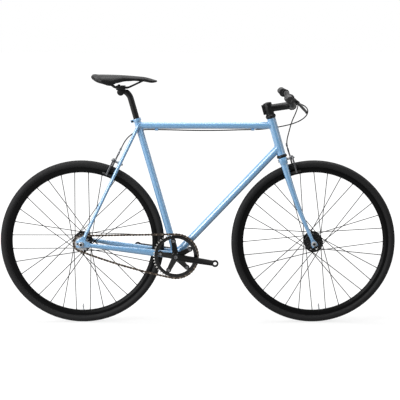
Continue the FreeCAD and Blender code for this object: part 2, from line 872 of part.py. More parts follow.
def build_stays():
    """Seatstays and chainstays as pairs of tapering tubes."""
    seatstays = []
    chainstays = []
    rounds = []
    for side in SIDES:
        top, low, root, tip = stay_ends(side)
        outside = cylinder("seatstay_outside", low, top, "seatstay_diameter")
        inside = cylinder("seatstay_inside", low, top, "seatstay_diameter - 2 * stay_wall")
        seatstays.append(cut("seatstay", outside, inside, seat_round))
        rounds.append(outside)
        way = tip - root
        shells = []
        for wall in ("0", "stay_wall"):
            trim = f" - 2 * {wall}"
            tip_size = "chainstay_tip_diameter" + trim
            sections = (
                (root, way, UP, "chainstay_height" + trim, "chainstay_width" + trim),
                (tip, way, UP, f"{NEAR_ROUND_SHARE} * ({tip_size})", tip_size),
            )
            shells.append(loft("chainstay_shell", sections))
        chainstays.append(cut("chainstay", shells[0], shells[1], shell_round))
        rounds.append(shells[0])
    group("seatstays", *seatstays)
    group("chainstays", *chainstays)
    return rounds


stay_rounds = build_stays()


def build_dropouts():
    """Track ends: plates with an open slot to the rear and a tab for each stay."""
    half_tab = size("dropout_tab_width") / 2
    half_slot = size("axle_diameter") / 2 + size("running_clearance")
    tail = -size("dropout_tail")
    cheek = size("dropout_cheek_height")
    seat_along = (seatstay_lean.x, seatstay_lean.z)
    chain_along = (chainstay_lean.x, chainstay_lean.z)

    def tab(along, reach, hand):
        """One corner of a stay's tab."""
        x, z = along
        return x * reach - hand * z * half_tab, z * reach + hand * x * half_tab

    seat_reach = size("seatstay_tab_reach")
    chain_reach = size("chainstay_tab_reach")
    corners = (
        (tail, half_slot),
        (tail, cheek),
        tab(seat_along, seat_reach, 1),
        tab(seat_along, seat_reach, -1),
        (size("slot_front_reach") + half_slot, cheek),
        tab(chain_along, chain_reach, 1),
        tab(chain_along, chain_reach, -1),
        (0.0, -cheek),
        (tail, -cheek),
        (tail, -half_slot),
        (size("slot_front_reach"), -half_slot),
        (size("slot_front_reach"), half_slot),
    )
    plates = []
    for side in SIDES:
        body = new_body("dropout", frame_at(rear_axle + LEFT * (side * dropout_middle), -LEFT, AHEAD))
        pad(body, draw_outline(new_sketch(body, "XY_Plane"), corners), "dropout_thickness", middle=True)
        plates.append(body)
    group("rear_dropouts", *plates)


build_dropouts()


def seatstay_at(radius):
    """Point in the middle plane, on the line of the seatstays, at a distance from the rear axle."""
    return rear_axle + seatstay_lean * radius


bridge_place = seatstay_at(wheel_radius + size("bridge_clearance"))
rear_brake_up = seatstay_lean
rear_brake_out = unit(rear_brake_up.cross(LEFT))


def build_bridges():
    """Brake bridge between the seatstays and the short bridge behind the bottom bracket."""
    top, low, root, tip = stay_ends(1)
    away = rear_brake_out * size("bridge_diameter")
    hole = cylinder("brake_bridge_hole", bridge_place - away, bridge_place + away, "brake_bolt_diameter")
    span = LEFT * stay_offset(low, top, bridge_place)
    bar = cylinder("brake_bridge_bar", bridge_place - span, bridge_place + span, "bridge_diameter")
    brake = cut("brake_bridge", bar, hole, stay_rounds[0], stay_rounds[2])
    place = bracket - chainstay_lean * size("chainstay_bridge_setback")
    span = LEFT * stay_offset(root, tip, place)
    bar = cylinder("stay_bridge_bar", place - span, place + span, "chainstay_bridge_diameter")
    short = cut("stay_bridge", bar, stay_rounds[1], stay_rounds[3])
    group("stay_bridges", brake, short)


def stay_offset(start, finish, place):
    """Sideways distance of a stay's middle at a place along the bicycle."""
    share = (place.x - start.x) / (finish.x - start.x)
    return start.y + share * (finish.y - start.y)


build_bridges()


def build_collar():
    """Seat collar with its ears and pinch bolt at the back."""
    height = "collar_height"
    place = frame_at(seat_top - seat_up * size(height), seat_up, seat_back)
    outer = doc.addObject("Part::Cylinder", "collar_round")
    bind(outer, "Radius", "seat_tube_diameter / 2 + collar_wall")
    bind(outer, "Height", height)
    outer.Placement = place
    reach = size("seat_tube_diameter") / 2 + size("collar_ear_length") / 2
    ears_place = place.multiply(FreeCAD.Placement(point(reach, 0, 0), FreeCAD.Rotation()))
    ears = box("collar_ears", "collar_ear_length", "collar_ear_width", height, ears_place)
    slot = box("collar_slot", "collar_ear_length + 2 * cut_overrun", "collar_slot_width", height, ears_place)
    bore = cylinder("collar_bore", bracket, seat_top, "seat_tube_diameter", overrun)
    middle = ears_place.multVec(point(0, 0, size(height) / 2))
    half = LEFT * (size("collar_ear_width") / 2)
    hole = cylinder("collar_hole", middle - half, middle + half, "collar_bolt_diameter", overrun)
    collar = cut("collar", fuse("collar_solid", outer, ears), bore, slot, hole)
    sizes = ("collar_bolt_diameter", "collar_bolt_head_diameter", "collar_bolt_head_height")
    screw = bolt("collar_bolt", middle - half, middle + half, *sizes)
    group("seat_collar", collar, screw)


build_collar()


def build_headset():
    """Pressed cups in the head tube, covers and spacer on the steerer."""
    bore = "steerer_diameter / 2 + running_clearance"
    press = "head_tube_diameter / 2 - head_tube_wall"
    corners = (
        (bore, "-headset_insert_depth"),
        (press, "-headset_insert_depth"),
        (press, 0.0),
        ("head_tube_diameter / 2", 0.0),
        ("headset_cup_diameter / 2", "headset_cup_height / 2"),
        ("headset_cup_diameter / 2", "headset_cup_height"),
        (bore, "headset_cup_height"),
    )
    upper = turned("headset_upper", corners, frame_at(head_top, steer_up))
    lower = turned("headset_lower", corners, frame_at(head_bottom, -steer_up))
    group("headset_cups", upper, lower)
    steerer = "steerer_diameter"
    cover_foot = head_top + steer_up * (size("headset_cup_height") + size("turning_gap"))
    spacer_foot = cover_foot + steer_up * size("headset_cover_height")
    cover_corners = (
        ("steerer_diameter / 2", 0.0),
        ("headset_cup_diameter / 2", 0.0),
        ("spacer_diameter / 2", "headset_cover_height"),
        ("steerer_diameter / 2", "headset_cover_height"),
    )
    cover = turned("headset_cover", cover_corners, frame_at(cover_foot, steer_up))
    spacer_place = frame_at(spacer_foot, steer_up)
    spacer = ring("headset_spacer", "spacer_diameter", steerer, "spacer_height", spacer_place)
    race_place = frame_at(fork_foot + steer_up * fork_length, steer_up)
    race = ring("crown_race", "headset_cup_diameter", steerer, "crown_race_height", race_place)
    group("headset_covers", cover, spacer, race)
    return spacer_foot + steer_up * size("spacer_height")


stem_foot = build_headset()
stem_head = stem_foot + steer_up * size("stem_height")
crown_top = fork_foot + steer_up * fork_length
crown_foot = crown_top - steer_up * size("crown_height")
crown_middle = crown_top - steer_up * (size("crown_height") / 2)


def build_fork():
    """Steerer and crown in one piece, and the raked blades with their slotted tips."""
    steerer_top = stem_head - steer_up * size("stem_slot_width")
    outside = cylinder("steerer_outside", crown_middle, steerer_top, "steerer_diameter")
    steerer_bore = "steerer_diameter - 2 * steerer_wall"
    inside = cylinder("steerer_inside", crown_top, steerer_top, steerer_bore, overrun)
    crown_place = frame_at(crown_foot, steer_up, steer_ahead)
    block = box("crown_block", "crown_depth", "crown_width", "crown_height", crown_place)
    doc.recompute([block])
    rounded = doc.addObject("Part::Fillet", "crown_rounded")
    rounded.Base = block
    upright = []
    for index, edge in enumerate(block.Shape.Edges, start=1):
        along = unit(edge.Vertexes[1].Point - edge.Vertexes[0].Point)
        if abs(along.dot(steer_up)) > math.cos(seat_lean):
            upright.append((index, size("crown_corner_radius"), size("crown_corner_radius")))
    rounded.Edges = upright
    half_hole = steer_ahead * size("crown_depth")
    hole = cylinder("crown_hole", crown_middle - half_hole, crown_middle + half_hole, "brake_bolt_diameter")
    keep("fork_crown", cut("fork_crown", fuse("crown_solid", rounded, outside), inside, hole))

    blade_height = fork_length - size("crown_height")
    rake = size("fork_rake")
    arc_radius = (blade_height ** 2 + rake ** 2) / (2 * rake)
    tip_middle = (size("front_dropout_spacing") + size("fork_tip_thickness")) / 2
    tip_height = size("fork_tip_reach")
    stations = int(size("blade_station_count"))
    tip_depth = f"{NEAR_ROUND_SHARE} * blade_tip_diameter"
    pieces = []
    for side in SIDES:
        shells = []
        for trim in ("0", "blade_wall"):
            sections = []
            for station in range(stations):
                share = station / (stations - 1)
                below = share * (blade_height - tip_height)
                turn = math.asin(below / arc_radius)
                ahead = arc_radius * (1 - math.cos(turn))
                aside = size("blade_top_offset") + share * (tip_middle - size("blade_top_offset"))
                centre = crown_foot - steer_up * below + steer_ahead * ahead + LEFT * (side * aside)
                heading = steer_ahead * math.sin(turn) - steer_up * math.cos(turn)
                long_way = f"blade_top_depth - {share} * (blade_top_depth - {tip_depth}) - 2 * {trim}"
                short_way = f"blade_top_width - {share} * (blade_top_width - blade_tip_diameter) - 2 * {trim}"
                sections.append((centre, heading, steer_ahead, long_way, short_way))
            shells.append(loft("blade_shell", sections))
        pieces.append(cut("fork_blade", *shells))
        blade_end = centre - LEFT * (side * aside)
        pieces.append(fork_tip(side * tip_middle, blade_end))
    group("fork_blades", *pieces)


def fork_tip(aside, blade_end):
    """Flat tip under a blade, slotted from below for the axle."""
    way = unit(front_axle - blade_end)
    across = unit(LEFT.cross(way))
    reach = (front_axle - blade_end).Length
    half = size("blade_tip_diameter") / 2
    half_slot = size("axle_diameter") / 2 + size("running_clearance")
    tail = size("fork_tip_tail")
    corners = (
        (-reach, -half),
        (-reach, half),
        (0.0, tail),
        (tail, tail),
        (tail, half_slot),
        (-half_slot, half_slot),
        (-half_slot, -half_slot),
        (tail, -half_slot),
        (tail, -tail),
        (0.0, -tail),
    )
    body = new_body("fork_tip", frame_at(front_axle + LEFT * aside, way.cross(across), way))
    pad(body, draw_outline(new_sketch(body, "XY_Plane"), corners), "fork_tip_thickness", middle=True)
    return body


build_fork()


# Stem, handlebar and grips
stem_middle = stem_foot + steer_up * (size("stem_height") * size("stem_seat_share"))
stem_rise = math.radians(size("stem_rise_angle"))
stem_way = point(math.cos(stem_rise), 0, math.sin(stem_rise))
bar_centre = stem_middle + stem_way * size("stem_length")
stem_up = unit(stem_way.cross(LEFT))


def build_stem():
    """Stem with a split steerer clamp at the back and an open bar clamp with its face plate."""
    half_clamp = LEFT * (size("stem_bar_clamp_width") / 2)
    post = cylinder("stem_post", stem_foot, stem_head, "stem_clamp_diameter")
    arm = cylinder("stem_arm", stem_middle, bar_centre, "stem_arm_diameter")
    nose = cylinder("stem_nose", bar_centre - half_clamp, bar_centre + half_clamp, "stem_bar_clamp_diameter")
    back = size("stem_clamp_diameter") / 2
    ear_place = frame_at(stem_foot - steer_ahead * back, steer_up, steer_ahead)
    ears = box("stem_ears", "2 * stem_ear_length", "stem_ear_width", "stem_height", ear_place)
    slot = box("stem_slot", "stem_clamp_diameter", "stem_slot_width", "stem_height", ear_place)
    steerer_bore = cylinder("stem_steerer_bore", stem_foot, stem_head, "steerer_diameter", overrun)
    bar_bore = cylinder("stem_bar_bore", bar_centre - half_clamp, bar_centre + half_clamp,
                        "bar_centre_diameter", overrun)
    gap = size("face_plate_gap")
    clamp = "stem_bar_clamp_diameter"
    front_place = frame_at(bar_centre - stem_up * size(clamp), stem_up, stem_way)
    reach = size(clamp)
    shift = FreeCAD.Placement(point(reach / 2 - gap / 2, 0, 0), FreeCAD.Rotation())
    front_room = box("stem_front_room", reach, 2 * reach, 2 * reach, front_place.multiply(shift))
    screws = []
    holes = []
    for hand in SIDES:
        along = stem_foot + steer_up * (size("stem_height") / 2 + hand * size("stem_height") / 4)
        middle = along - steer_ahead * (back + size("stem_ear_length") / 2)
        half = LEFT * (size("stem_ear_width") / 2)
        sizes = ("stem_bolt_diameter", "stem_bolt_head_diameter", "stem_bolt_head_height")
        screws.append(bolt("stem_pinch_bolt", middle - half, middle + half, *sizes))
        holes.append(cylinder("stem_pinch_hole", middle - half, middle + half, "stem_bolt_diameter", overrun))
    rest = size("bar_centre_diameter") / 2
    for hand in SIDES:
        for side in SIDES:
            height = hand * (rest + (size("stem_bar_clamp_diameter") / 2 - rest) / 2)
            aside = side * size("stem_bar_clamp_width") / 4
            middle = bar_centre + stem_up * height + LEFT * aside
            tip = middle - stem_way * (rest / 2)
            top = middle + stem_way * (size("face_plate_thickness") / 2)
            screws.append(face_bolt(top, tip))
            holes.append(cylinder("face_bolt_hole", tip, top, "stem_bolt_diameter / 2", overrun))
    solid = fuse("stem_solid", post, arm, nose, ears)
    keep("stem", cut("stem", solid, steerer_bore, bar_bore, slot, front_room, *holes))
    plate_round = cylinder("face_round", bar_centre - half_clamp, bar_centre + half_clamp,
                           "stem_bar_clamp_diameter")
    room_shift = FreeCAD.Placement(point(reach / 2 + gap / 2, 0, 0), FreeCAD.Rotation())
    plate_room = box("face_room", reach, 2 * reach, 2 * reach, front_place.multiply(room_shift))
    plate = doc.addObject("Part::MultiCommon", "face_solid")
    plate.Shapes = [plate_round, plate_room]
    keep("stem_face_plate", cut("stem_face_plate", plate, bar_bore, *holes))
    group("stem_bolts", *screws)
    cap_corners = (
        (0.0, "-stem_slot_width"),
        ("steerer_diameter / 2 - steerer_wall", "-stem_slot_width"),
        ("steerer_diameter / 2 - steerer_wall", 0.0),
        ("top_cap_diameter / 2", 0.0),
        ("top_cap_diameter / 2", "top_cap_height / 2"),
        ("top_cap_bolt_diameter", "top_cap_height"),
        ("top_cap_bolt_diameter / 2", "top_cap_height"),
        ("top_cap_bolt_diameter / 2", "top_cap_height / 2"),
        (0.0, "top_cap_height / 2"),
    )
    keep("stem_top_cap", turned("stem_top_cap", cap_corners, frame_at(stem_head, steer_up)))


def face_bolt(top, tip):
    """Small screw that pulls the face plate onto the bar."""
    way = unit(tip - top)
    shank = cylinder("face_bolt_shank", top, tip, "stem_bolt_diameter / 2")
    head_top = top - way * (size("stem_bolt_head_height") / 2)
    head = cylinder("face_bolt_head", head_top, top, "stem_bolt_diameter / 2")
    return fuse("face_bolt", shank, head)


build_stem()


def bar_point(half_width, back, rise, side):
    """Place on the handlebar's middle line."""
    return bar_centre + point(-back, side * half_width, rise)


def bar_route(side):
    """Middle line of one half of the bar: clamp, rise, and the swept-back grip end."""
    half = size("bar_width") / 2
    rise = size("bar_rise")
    return (
        bar_point(half * size("bar_flat_share"), 0, 0, side),
        bar_point(half * size("bar_rise_share"), size("bar_rise_setback"), rise, side),
        bar_point(half - size("grip_cap_thickness"), size("bar_sweep_back"), rise, side),
    )


def build_bar():
    """Riser bar with a thicker middle, and the grips on its ends."""
    right = bar_route(-1)
    left = bar_route(1)
    route = tuple(reversed(right)) + left
    outside = swept("bar_outside", "bar_diameter", route, size("bar_bend_radius"))
    inside = swept("bar_inside", "bar_diameter - 2 * bar_wall", route, size("bar_bend_radius"))
    half = "bar_centre_length / 2"
    corners = (
        (0.0, f"-{half} - bar_taper_length"),
        ("bar_diameter / 2", f"-{half} - bar_taper_length"),
        ("bar_centre_diameter / 2", f"-{half}"),
        ("bar_centre_diameter / 2", half),
        ("bar_diameter / 2", f"{half} + bar_taper_length"),
        (0.0, f"{half} + bar_taper_length"),
    )
    middle = turned("bar_middle", corners, frame_at(bar_centre, LEFT))
    keep("handlebar", cut("handlebar", fuse("bar_solid", outside, middle), inside))
    grips = []
    grip = "grip_share * bar_width / 2"
    for side in SIDES:
        route = bar_route(side)
        way = unit(route[2] - route[1])
        corners = (
            ("bar_diameter / 2", f"-{grip}"),
            ("grip_collar_diameter / 2", f"-{grip}"),
            ("grip_collar_diameter / 2", f"grip_collar_length - {grip}"),
            ("grip_diameter / 2", f"grip_collar_length - {grip}"),
            ("grip_diameter / 2", "grip_cap_thickness / 2"),
            ("bar_diameter / 2", "grip_cap_thickness"),
            (0.0, "grip_cap_thickness"),
            (0.0, 0.0),
            ("bar_diameter / 2", 0.0),
        )
        grips.append(turned("grip", corners, frame_at(route[2], way)))
    group("grips", *grips)


build_bar()


def lever_frame(side):
    """Bar point under a lever bracket, bar direction, pull direction and hinge axis on one side."""
    route = bar_route(side)
    way = unit(route[2] - route[1])
    grip = size("grip_share") * size("bar_width") / 2
    seat = route[2] - way * (grip + size("bracket_gap") + size("bracket_width") / 2)
    fall = math.radians(size("lever_down_angle"))
    reach = point(math.cos(fall), 0, -math.sin(fall))
    out = unit(reach - way * reach.dot(way))
    hinge = unit(way.cross(out))
    pivot = seat + out * size("lever_pivot_reach")
    return seat, way, out, hinge, pivot


lever_exits = {}


def build_levers():
    """Lever brackets with their clevis and pin, and the lever blades."""
    brackets = []
    for side, node in zip(SIDES, ("right_lever", "left_lever")):
        seat, way, out, hinge, pivot = lever_frame(side)
        half_width = way * (size("bracket_width") / 2)
        band_diameter = "bar_diameter + 2 * bracket_wall"
        band = cylinder("bracket_band", seat - half_width, seat + half_width, band_diameter)
        half_fork = size("lever_eye_height") / 2 + size("clevis_gap")
        fork_rise = hinge * (half_fork + size("clevis_plate_thickness"))
        knuckle = cylinder("bracket_knuckle", pivot - fork_rise, pivot + fork_rise, "lever_eye_diameter")
        arm = cylinder("bracket_arm", seat, pivot, "bracket_arm_diameter")
        mouth_rise = hinge * half_fork
        room = "lever_eye_diameter + 8 * clevis_gap"
        mouth = cylinder("bracket_mouth", pivot - mouth_rise, pivot + mouth_rise, room)
        exit_way = unit(out - way * 2)
        exit_start = pivot - way * (size("lever_eye_diameter") / 2)
        exit_end = exit_start + exit_way * size("adjuster_length")
        barrel = cylinder("bracket_barrel", exit_start, exit_end, "adjuster_diameter")
        bore = cylinder("bracket_bore", seat - half_width, seat + half_width, "bar_diameter", overrun)
        pin_ends = (pivot - fork_rise, pivot + fork_rise)
        pin_hole = cylinder("bracket_pin_hole", *pin_ends, "lever_pin_diameter", overrun)
        solid = fuse("bracket_solid", band, knuckle, arm, barrel)
        shell = cut("bracket_shell", solid, bore, mouth, pin_hole)
        pin = cylinder("bracket_pin", pivot - fork_rise, pivot + fork_rise, "lever_pin_diameter")
        brackets.extend((shell, pin))
        lever_exits[side] = (exit_end, exit_end + exit_way * size("housing_lead"))
        build_lever(node, seat, way, out, hinge, pivot)
    group("lever_brackets", *brackets)


def build_lever(node, seat, way, out, hinge, pivot):
    """Tapered blade that runs outwards in front of the grip to a ball end."""
    tip = seat + out * size("lever_tip_reach") + way * size("lever_length")
    heading = unit(tip - pivot)
    half_eye = hinge * (size("lever_eye_height") / 2)
    eye = cylinder(node + "_eye", pivot - half_eye, pivot + half_eye, "lever_eye_diameter")
    root = pivot + heading * (size("lever_eye_diameter") / 4)
    middle = (pivot + tip) / 2 + out * (size("lever_blade_thickness") / 2)
    sections = (
        (root, heading, hinge, "lever_eye_height", "lever_eye_height - clevis_gap"),
        (middle, heading, hinge, "lever_blade_height", "lever_blade_thickness"),
        (tip, heading, hinge, f"lever_blade_height * {LEVER_TIP_SHARE}", "lever_blade_thickness"),
    )
    blade = loft(node + "_blade", sections)
    ball = doc.addObject("Part::Sphere", node + "_ball")
    bind(ball, "Radius", "lever_ball_diameter / 2")
    ball.Placement = frame_at(tip, heading)
    hole = cylinder(node + "_hole", pivot - half_eye, pivot + half_eye,
                    "lever_pin_diameter + 2 * running_clearance", overrun)
    keep(node, cut(node, fuse(node + "_solid", eye, blade, ball), hole))
    print(node, "pivot", [round(value, 2) for value in pivot], "axis", [round(value, 5) for value in hinge])


build_levers()


# Wheels


def build_wheel(name, axle, hub_length, boss_diameter, valve_angle):
    """Tyre with its tube's valve, rim, crossed spokes and high-flange hub of one wheel."""
    place = frame_at(axle, LEFT, AHEAD)
    foot = "rim_diameter / 2"
    rise = "tyre_height"
    half = "tyre_width / 2"
    right_side = [(foot, "-tyre_foot_width / 2")]
    left_side = [(foot, "tyre_foot_width / 2")]
    for high, wide in TYRE_SECTION_SHARES:
        radius = f"{foot} + {high} * {rise}"
        right_side.append((radius, f"-{wide} * {half}"))
        left_side.append((radius, f"{wide} * {half}"))
    corners = [*right_side, *reversed(left_side)]
    casing = turned(name + "_casing", corners, place)
    turn = math.radians(size(valve_angle))
    outward = place.Rotation.multVec(point(math.cos(turn), math.sin(turn), 0))
    valve_root = size("rim_diameter") / 2 - size("rim_depth") - size("turning_gap")
    valve_start = axle + outward * valve_root
    valve_end = valve_start - outward * size("valve_reach")
    group(name + "_tyre", casing, cylinder(name + "_valve", valve_start, valve_end, "valve_diameter"))
    track = "rim_diameter / 2 - brake_track_height"
    nose = "rim_diameter / 2 - rim_depth"
    corners = (
        (foot, "-rim_width / 2"),
        (foot, "rim_width / 2"),
        (track, "rim_width / 2"),
        (nose, "rim_nose_width / 2"),
        (nose, "-rim_nose_width / 2"),
        (track, "-rim_width / 2"),
    )
    keep(name + "_rim", turned(name + "_rim", corners, place))
    build_spokes(name + "_spokes", place, turn)
    build_hub(name + "_hub", place, hub_length, boss_diameter)


def build_spokes(node, place, valve_turn):
    """Crossed spokes, half from each flange, alternately from its outer and inner face."""
    per_flange = int(size("spoke_count")) // 2
    step = 2 * math.pi / per_flange
    first = valve_turn - VALVE_PITCH_SHARE * step
    reach = size("rim_diameter") / 2 - size("rim_depth") + size("spoke_seat_depth")
    root_radius = size("spoke_circle_diameter") / 2
    half = size("spoke_thickness") / 2
    offset = size("flange_thickness") / 2 + half
    spokes = []
    for side in SIDES:
        for index in range(per_flange):
            hand = 1 if index % 2 else -1
            root_turn = first + index * step + (step / 2 if side > 0 else 0.0)
            tip_turn = root_turn - hand * size("spoke_crossings") * step
            root_side = side * size("flange_spacing") / 2 + hand * offset
            tip_side = side * size("rim_nose_width") / 8
            root = point(root_radius * math.cos(root_turn), root_radius * math.sin(root_turn), root_side)
            tip = point(reach * math.cos(tip_turn), reach * math.sin(tip_turn), tip_side)
            spokes.append(square_bar(root, tip, half))
    keep(node, coded(node, Part.makeCompound(spokes), place))


def square_bar(start, finish, half):
    """Square bar between two points with one pair of faces square to the wheel's axis."""
    frame = frame_at(start, finish - start, UP)
    corners = [frame.multVec(point(x * half, y * half, 0)) for x, y in ((1, 1), (-1, 1), (-1, -1), (1, -1))]
    return Part.Face(Part.makePolygon(corners + corners[:1])).extrude(finish - start)


def build_hub(node, place, hub_length, boss_diameter):
    """Hub shell with two windowed flanges, turning on the axle."""
    bore = "axle_diameter / 2 + running_clearance"
    end = f"{hub_length} / 2"
    outer = "flange_spacing / 2 + flange_thickness / 2"
    inner = "flange_spacing / 2 - flange_thickness / 2"
    boss = f"{boss_diameter} / 2"
    half_profile = (
        (bore, end),
        (boss, end),
        (boss, outer),
        ("flange_diameter / 2", outer),
        ("flange_diameter / 2", inner),
        ("hub_barrel_diameter / 2", inner),
    )
    mirrored = [(radius, f"-({height})") for radius, height in half_profile]
    body = turned(node, [*half_profile, *reversed(mirrored)], place)
    window = draw_outline(new_sketch(body, "XY_Plane"), (
        ("flange_window_inner", "-flange_window_width / 4"),
        ("flange_window_outer", "-flange_window_width / 2"),
        ("flange_window_outer", "flange_window_width / 2"),
        ("flange_window_inner", "flange_window_width / 4"),
    ))
    polar(body, pocket_through(body, window), "flange_window_count")
    keep(node, body)


def build_axle(name, axle, spacing, hub_length, plate_thickness):
    """Axle with its cones, held by a washer and nut outside each dropout."""
    clamp = f"{spacing} / 2"
    cone = f"{hub_length} / 2 + turning_gap"
    end = f"{clamp} + {plate_thickness} + axle_washer_thickness + axle_nut_height + axle_overhang"
    half_profile = (
        (0.0, end),
        ("axle_diameter / 2", end),
        ("axle_diameter / 2", clamp),
        ("axle_cone_diameter / 2", clamp),
        ("axle_cone_diameter / 2", cone),
        ("axle_diameter / 2", cone),
    )
    mirrored = [(radius, f"-({height})") for radius, height in half_profile]
    shaft = turned(name + "_axle", [*half_profile, *reversed(mirrored)], frame_at(axle, LEFT, AHEAD))
    keep(name + "_axle", shaft)
    nuts = []
    for side in SIDES:
        face = axle + LEFT * (side * (size(spacing) / 2 + size(plate_thickness)))
        nut_sizes = ("axle_nut_flats", "axle_nut_height", "axle_diameter")
        washer_sizes = ("axle_washer_diameter", "axle_washer_thickness")
        nuts.append(hex_nut(name + "_nut", *nut_sizes, *washer_sizes, frame_at(face, LEFT * side, UP)))
    group(name + "_axle_nuts", *nuts)


build_wheel("front", front_axle, "front_hub_length", "front_hub_boss_diameter", "front_valve_angle")
build_wheel("rear", rear_axle, "rear_hub_length", "rear_hub_boss_diameter", "rear_valve_angle")
build_axle("front", front_axle, "front_dropout_spacing", "front_hub_length", "fork_tip_thickness")
build_axle("rear", rear_axle, "rear_dropout_spacing", "rear_hub_length", "dropout_thickness")


# Drive train
chain_side = -LEFT * size("chain_line")
rollers = [bracket + drive_ahead * x + drive_up * z + chain_side for x, z in roller_places]


def first_seat(centre, teeth):
    """Direction from a sprocket's middle to one of the rollers that lie on it."""
    radius = pitch_radius(teeth)
    middle = centre + chain_side
    slack = SOLVED_SHARE * size("running_clearance")
    seated = [place for place in rollers if abs(place.distanceToPoint(middle) - radius) < slack]
    return unit(seated[len(seated) // 2] - middle)


def sprocket(name, centre, teeth, inner):
    """Toothed disc whose gaps sit on the chain's rollers."""
    radius = pitch_radius(teeth)
    body = new_body(name, frame_at(centre + chain_side, -LEFT, first_seat(centre, teeth)))
    tip = radius + size("tooth_height")
    disc = draw_circle(new_sketch(body, "XY_Plane"), f"{2 * radius} + 2 * tooth_height")
    draw_circle(disc, inner)
    pad(body, disc, "sprocket_thickness", middle=True)
    seat = radius - size("roller_diameter") / 2 - size("seat_clearance")
    mouth = (2 * math.pi * tip / size(teeth) - size("tooth_tip_width")) / 2
    straight = mouth * (size("roller_diameter") / 2) / (size("chain_pitch") - size("tooth_height"))
    seat_half = TOOTH_FOOT_SHARE * straight
    high = tip + size("tooth_height") * mouth / tip
    gap = draw_outline(new_sketch(body, "XY_Plane"), (
        (seat, -seat_half),
        (high, -mouth),
        (high, mouth),
        (seat, seat_half),
    ))
    polar(body, pocket_through(body, gap), teeth)
    return body


def build_sprockets():
    """Chainring with its bolt tabs, cog and lockring."""
    chainring = sprocket("chainring", bracket, "ring_teeth_count", "ring_inner_diameter")
    crank_way = chainring.Placement.Rotation.inverted().multVec(crank_direction())
    first = math.degrees(math.atan2(crank_way.y, crank_way.x)) + 180 / size("ring_bolt_count")
    bolt_circle = "bolt_circle_diameter / 2"
    tab = draw_circle(new_sketch(chainring, "XY_Plane", turn=first), "ring_tab_diameter", bolt_circle)
    polar(chainring, pad(chainring, tab, "sprocket_thickness", middle=True), "ring_bolt_count")
    hole = draw_circle(new_sketch(chainring, "XY_Plane", turn=first), "ring_bolt_diameter", bolt_circle)
    polar(chainring, pocket_through(chainring, hole), "ring_bolt_count")
    keep("chainring", chainring)
    keep("rear_cog", sprocket("rear_cog", rear_axle, "cog_teeth_count", "rear_hub_boss_diameter"))
    face = rear_axle + chain_side - LEFT * (size("sprocket_thickness") / 2)
    lockring_sizes = ("lockring_diameter", "rear_hub_boss_diameter", "lockring_thickness")
    keep("cog_lockring", ring("cog_lockring", *lockring_sizes, frame_at(face, -LEFT, AHEAD)))


def crank_direction():
    """Way the drive-side crank points."""
    fall = math.radians(size("crank_drop_angle"))
    return point(math.cos(fall), 0, -math.sin(fall))


build_sprockets()


def build_crank(node, outward, way, spider):
    """Crank arm with a square seat, a pedal eye and, on the drive side, the five-arm spider."""
    body = new_body(node, frame_at(bracket, outward, way))
    spider_foot = "chain_line + sprocket_thickness / 2"
    outer_face = "crank_inner_face + crank_thickness"
    boss = draw_circle(new_sketch(body, "XY_Plane", lift=spider_foot), "crank_boss_diameter")
    pad(body, boss, f"{outer_face} - ({spider_foot})")
    arm = draw_outline(new_sketch(body, "XY_Plane", lift="crank_inner_face"), (
        (0.0, "-crank_root_width / 2"),
        ("crank_length", "-crank_tip_width / 2"),
        ("crank_length", "crank_tip_width / 2"),
        (0.0, "crank_root_width / 2"),
    ))
    pad(body, arm, "crank_thickness")
    eye_sketch = new_sketch(body, "XY_Plane", lift="crank_inner_face")
    eye = draw_circle(eye_sketch, "crank_eye_diameter", "crank_length")
    pad(body, eye, "crank_thickness")
    if spider:
        first = 180 / size("ring_bolt_count")
        leg = draw_outline(new_sketch(body, "XY_Plane", lift=spider_foot, turn=first), (
            (0.0, "-spider_root_width / 2"),
            ("bolt_circle_diameter / 2", "-spider_tip_width / 2"),
            ("bolt_circle_diameter / 2", "spider_tip_width / 2"),
            (0.0, "spider_root_width / 2"),
        ))
        polar(body, pad(body, leg, "spider_thickness"), "ring_bolt_count")
        end = new_sketch(body, "XY_Plane", lift=spider_foot, turn=first)
        draw_circle(end, "spider_end_diameter", "bolt_circle_diameter / 2")
        polar(body, pad(body, end, "spider_thickness"), "ring_bolt_count")
        hole = new_sketch(body, "XY_Plane", turn=first)
        draw_circle(hole, "ring_bolt_diameter", "bolt_circle_diameter / 2")
        polar(body, pocket_through(body, hole), "ring_bolt_count")
    pocket_through(body, draw_circle(new_sketch(body, "XY_Plane"), "pedal_hole_diameter", "crank_length"))
    half = "spindle_square / 2"
    square = ((f"-{half}", f"-{half}"), (half, f"-{half}"), (half, half), (f"-{half}", half))
    pocket_through(body, draw_outline(new_sketch(body, "XY_Plane"), square))
    recess_sketch = new_sketch(body, "XY_Plane", lift="spindle_square_reach")
    recess = draw_circle(recess_sketch, "crank_bolt_head_diameter")
    opening = body.newObject("PartDesign::Pocket", body.Name + "_recess")
    opening.Profile = recess
    opening.Reversed = True
    bind(opening, "Length", f"{outer_face} - spindle_square_reach")
    keep(node, body)


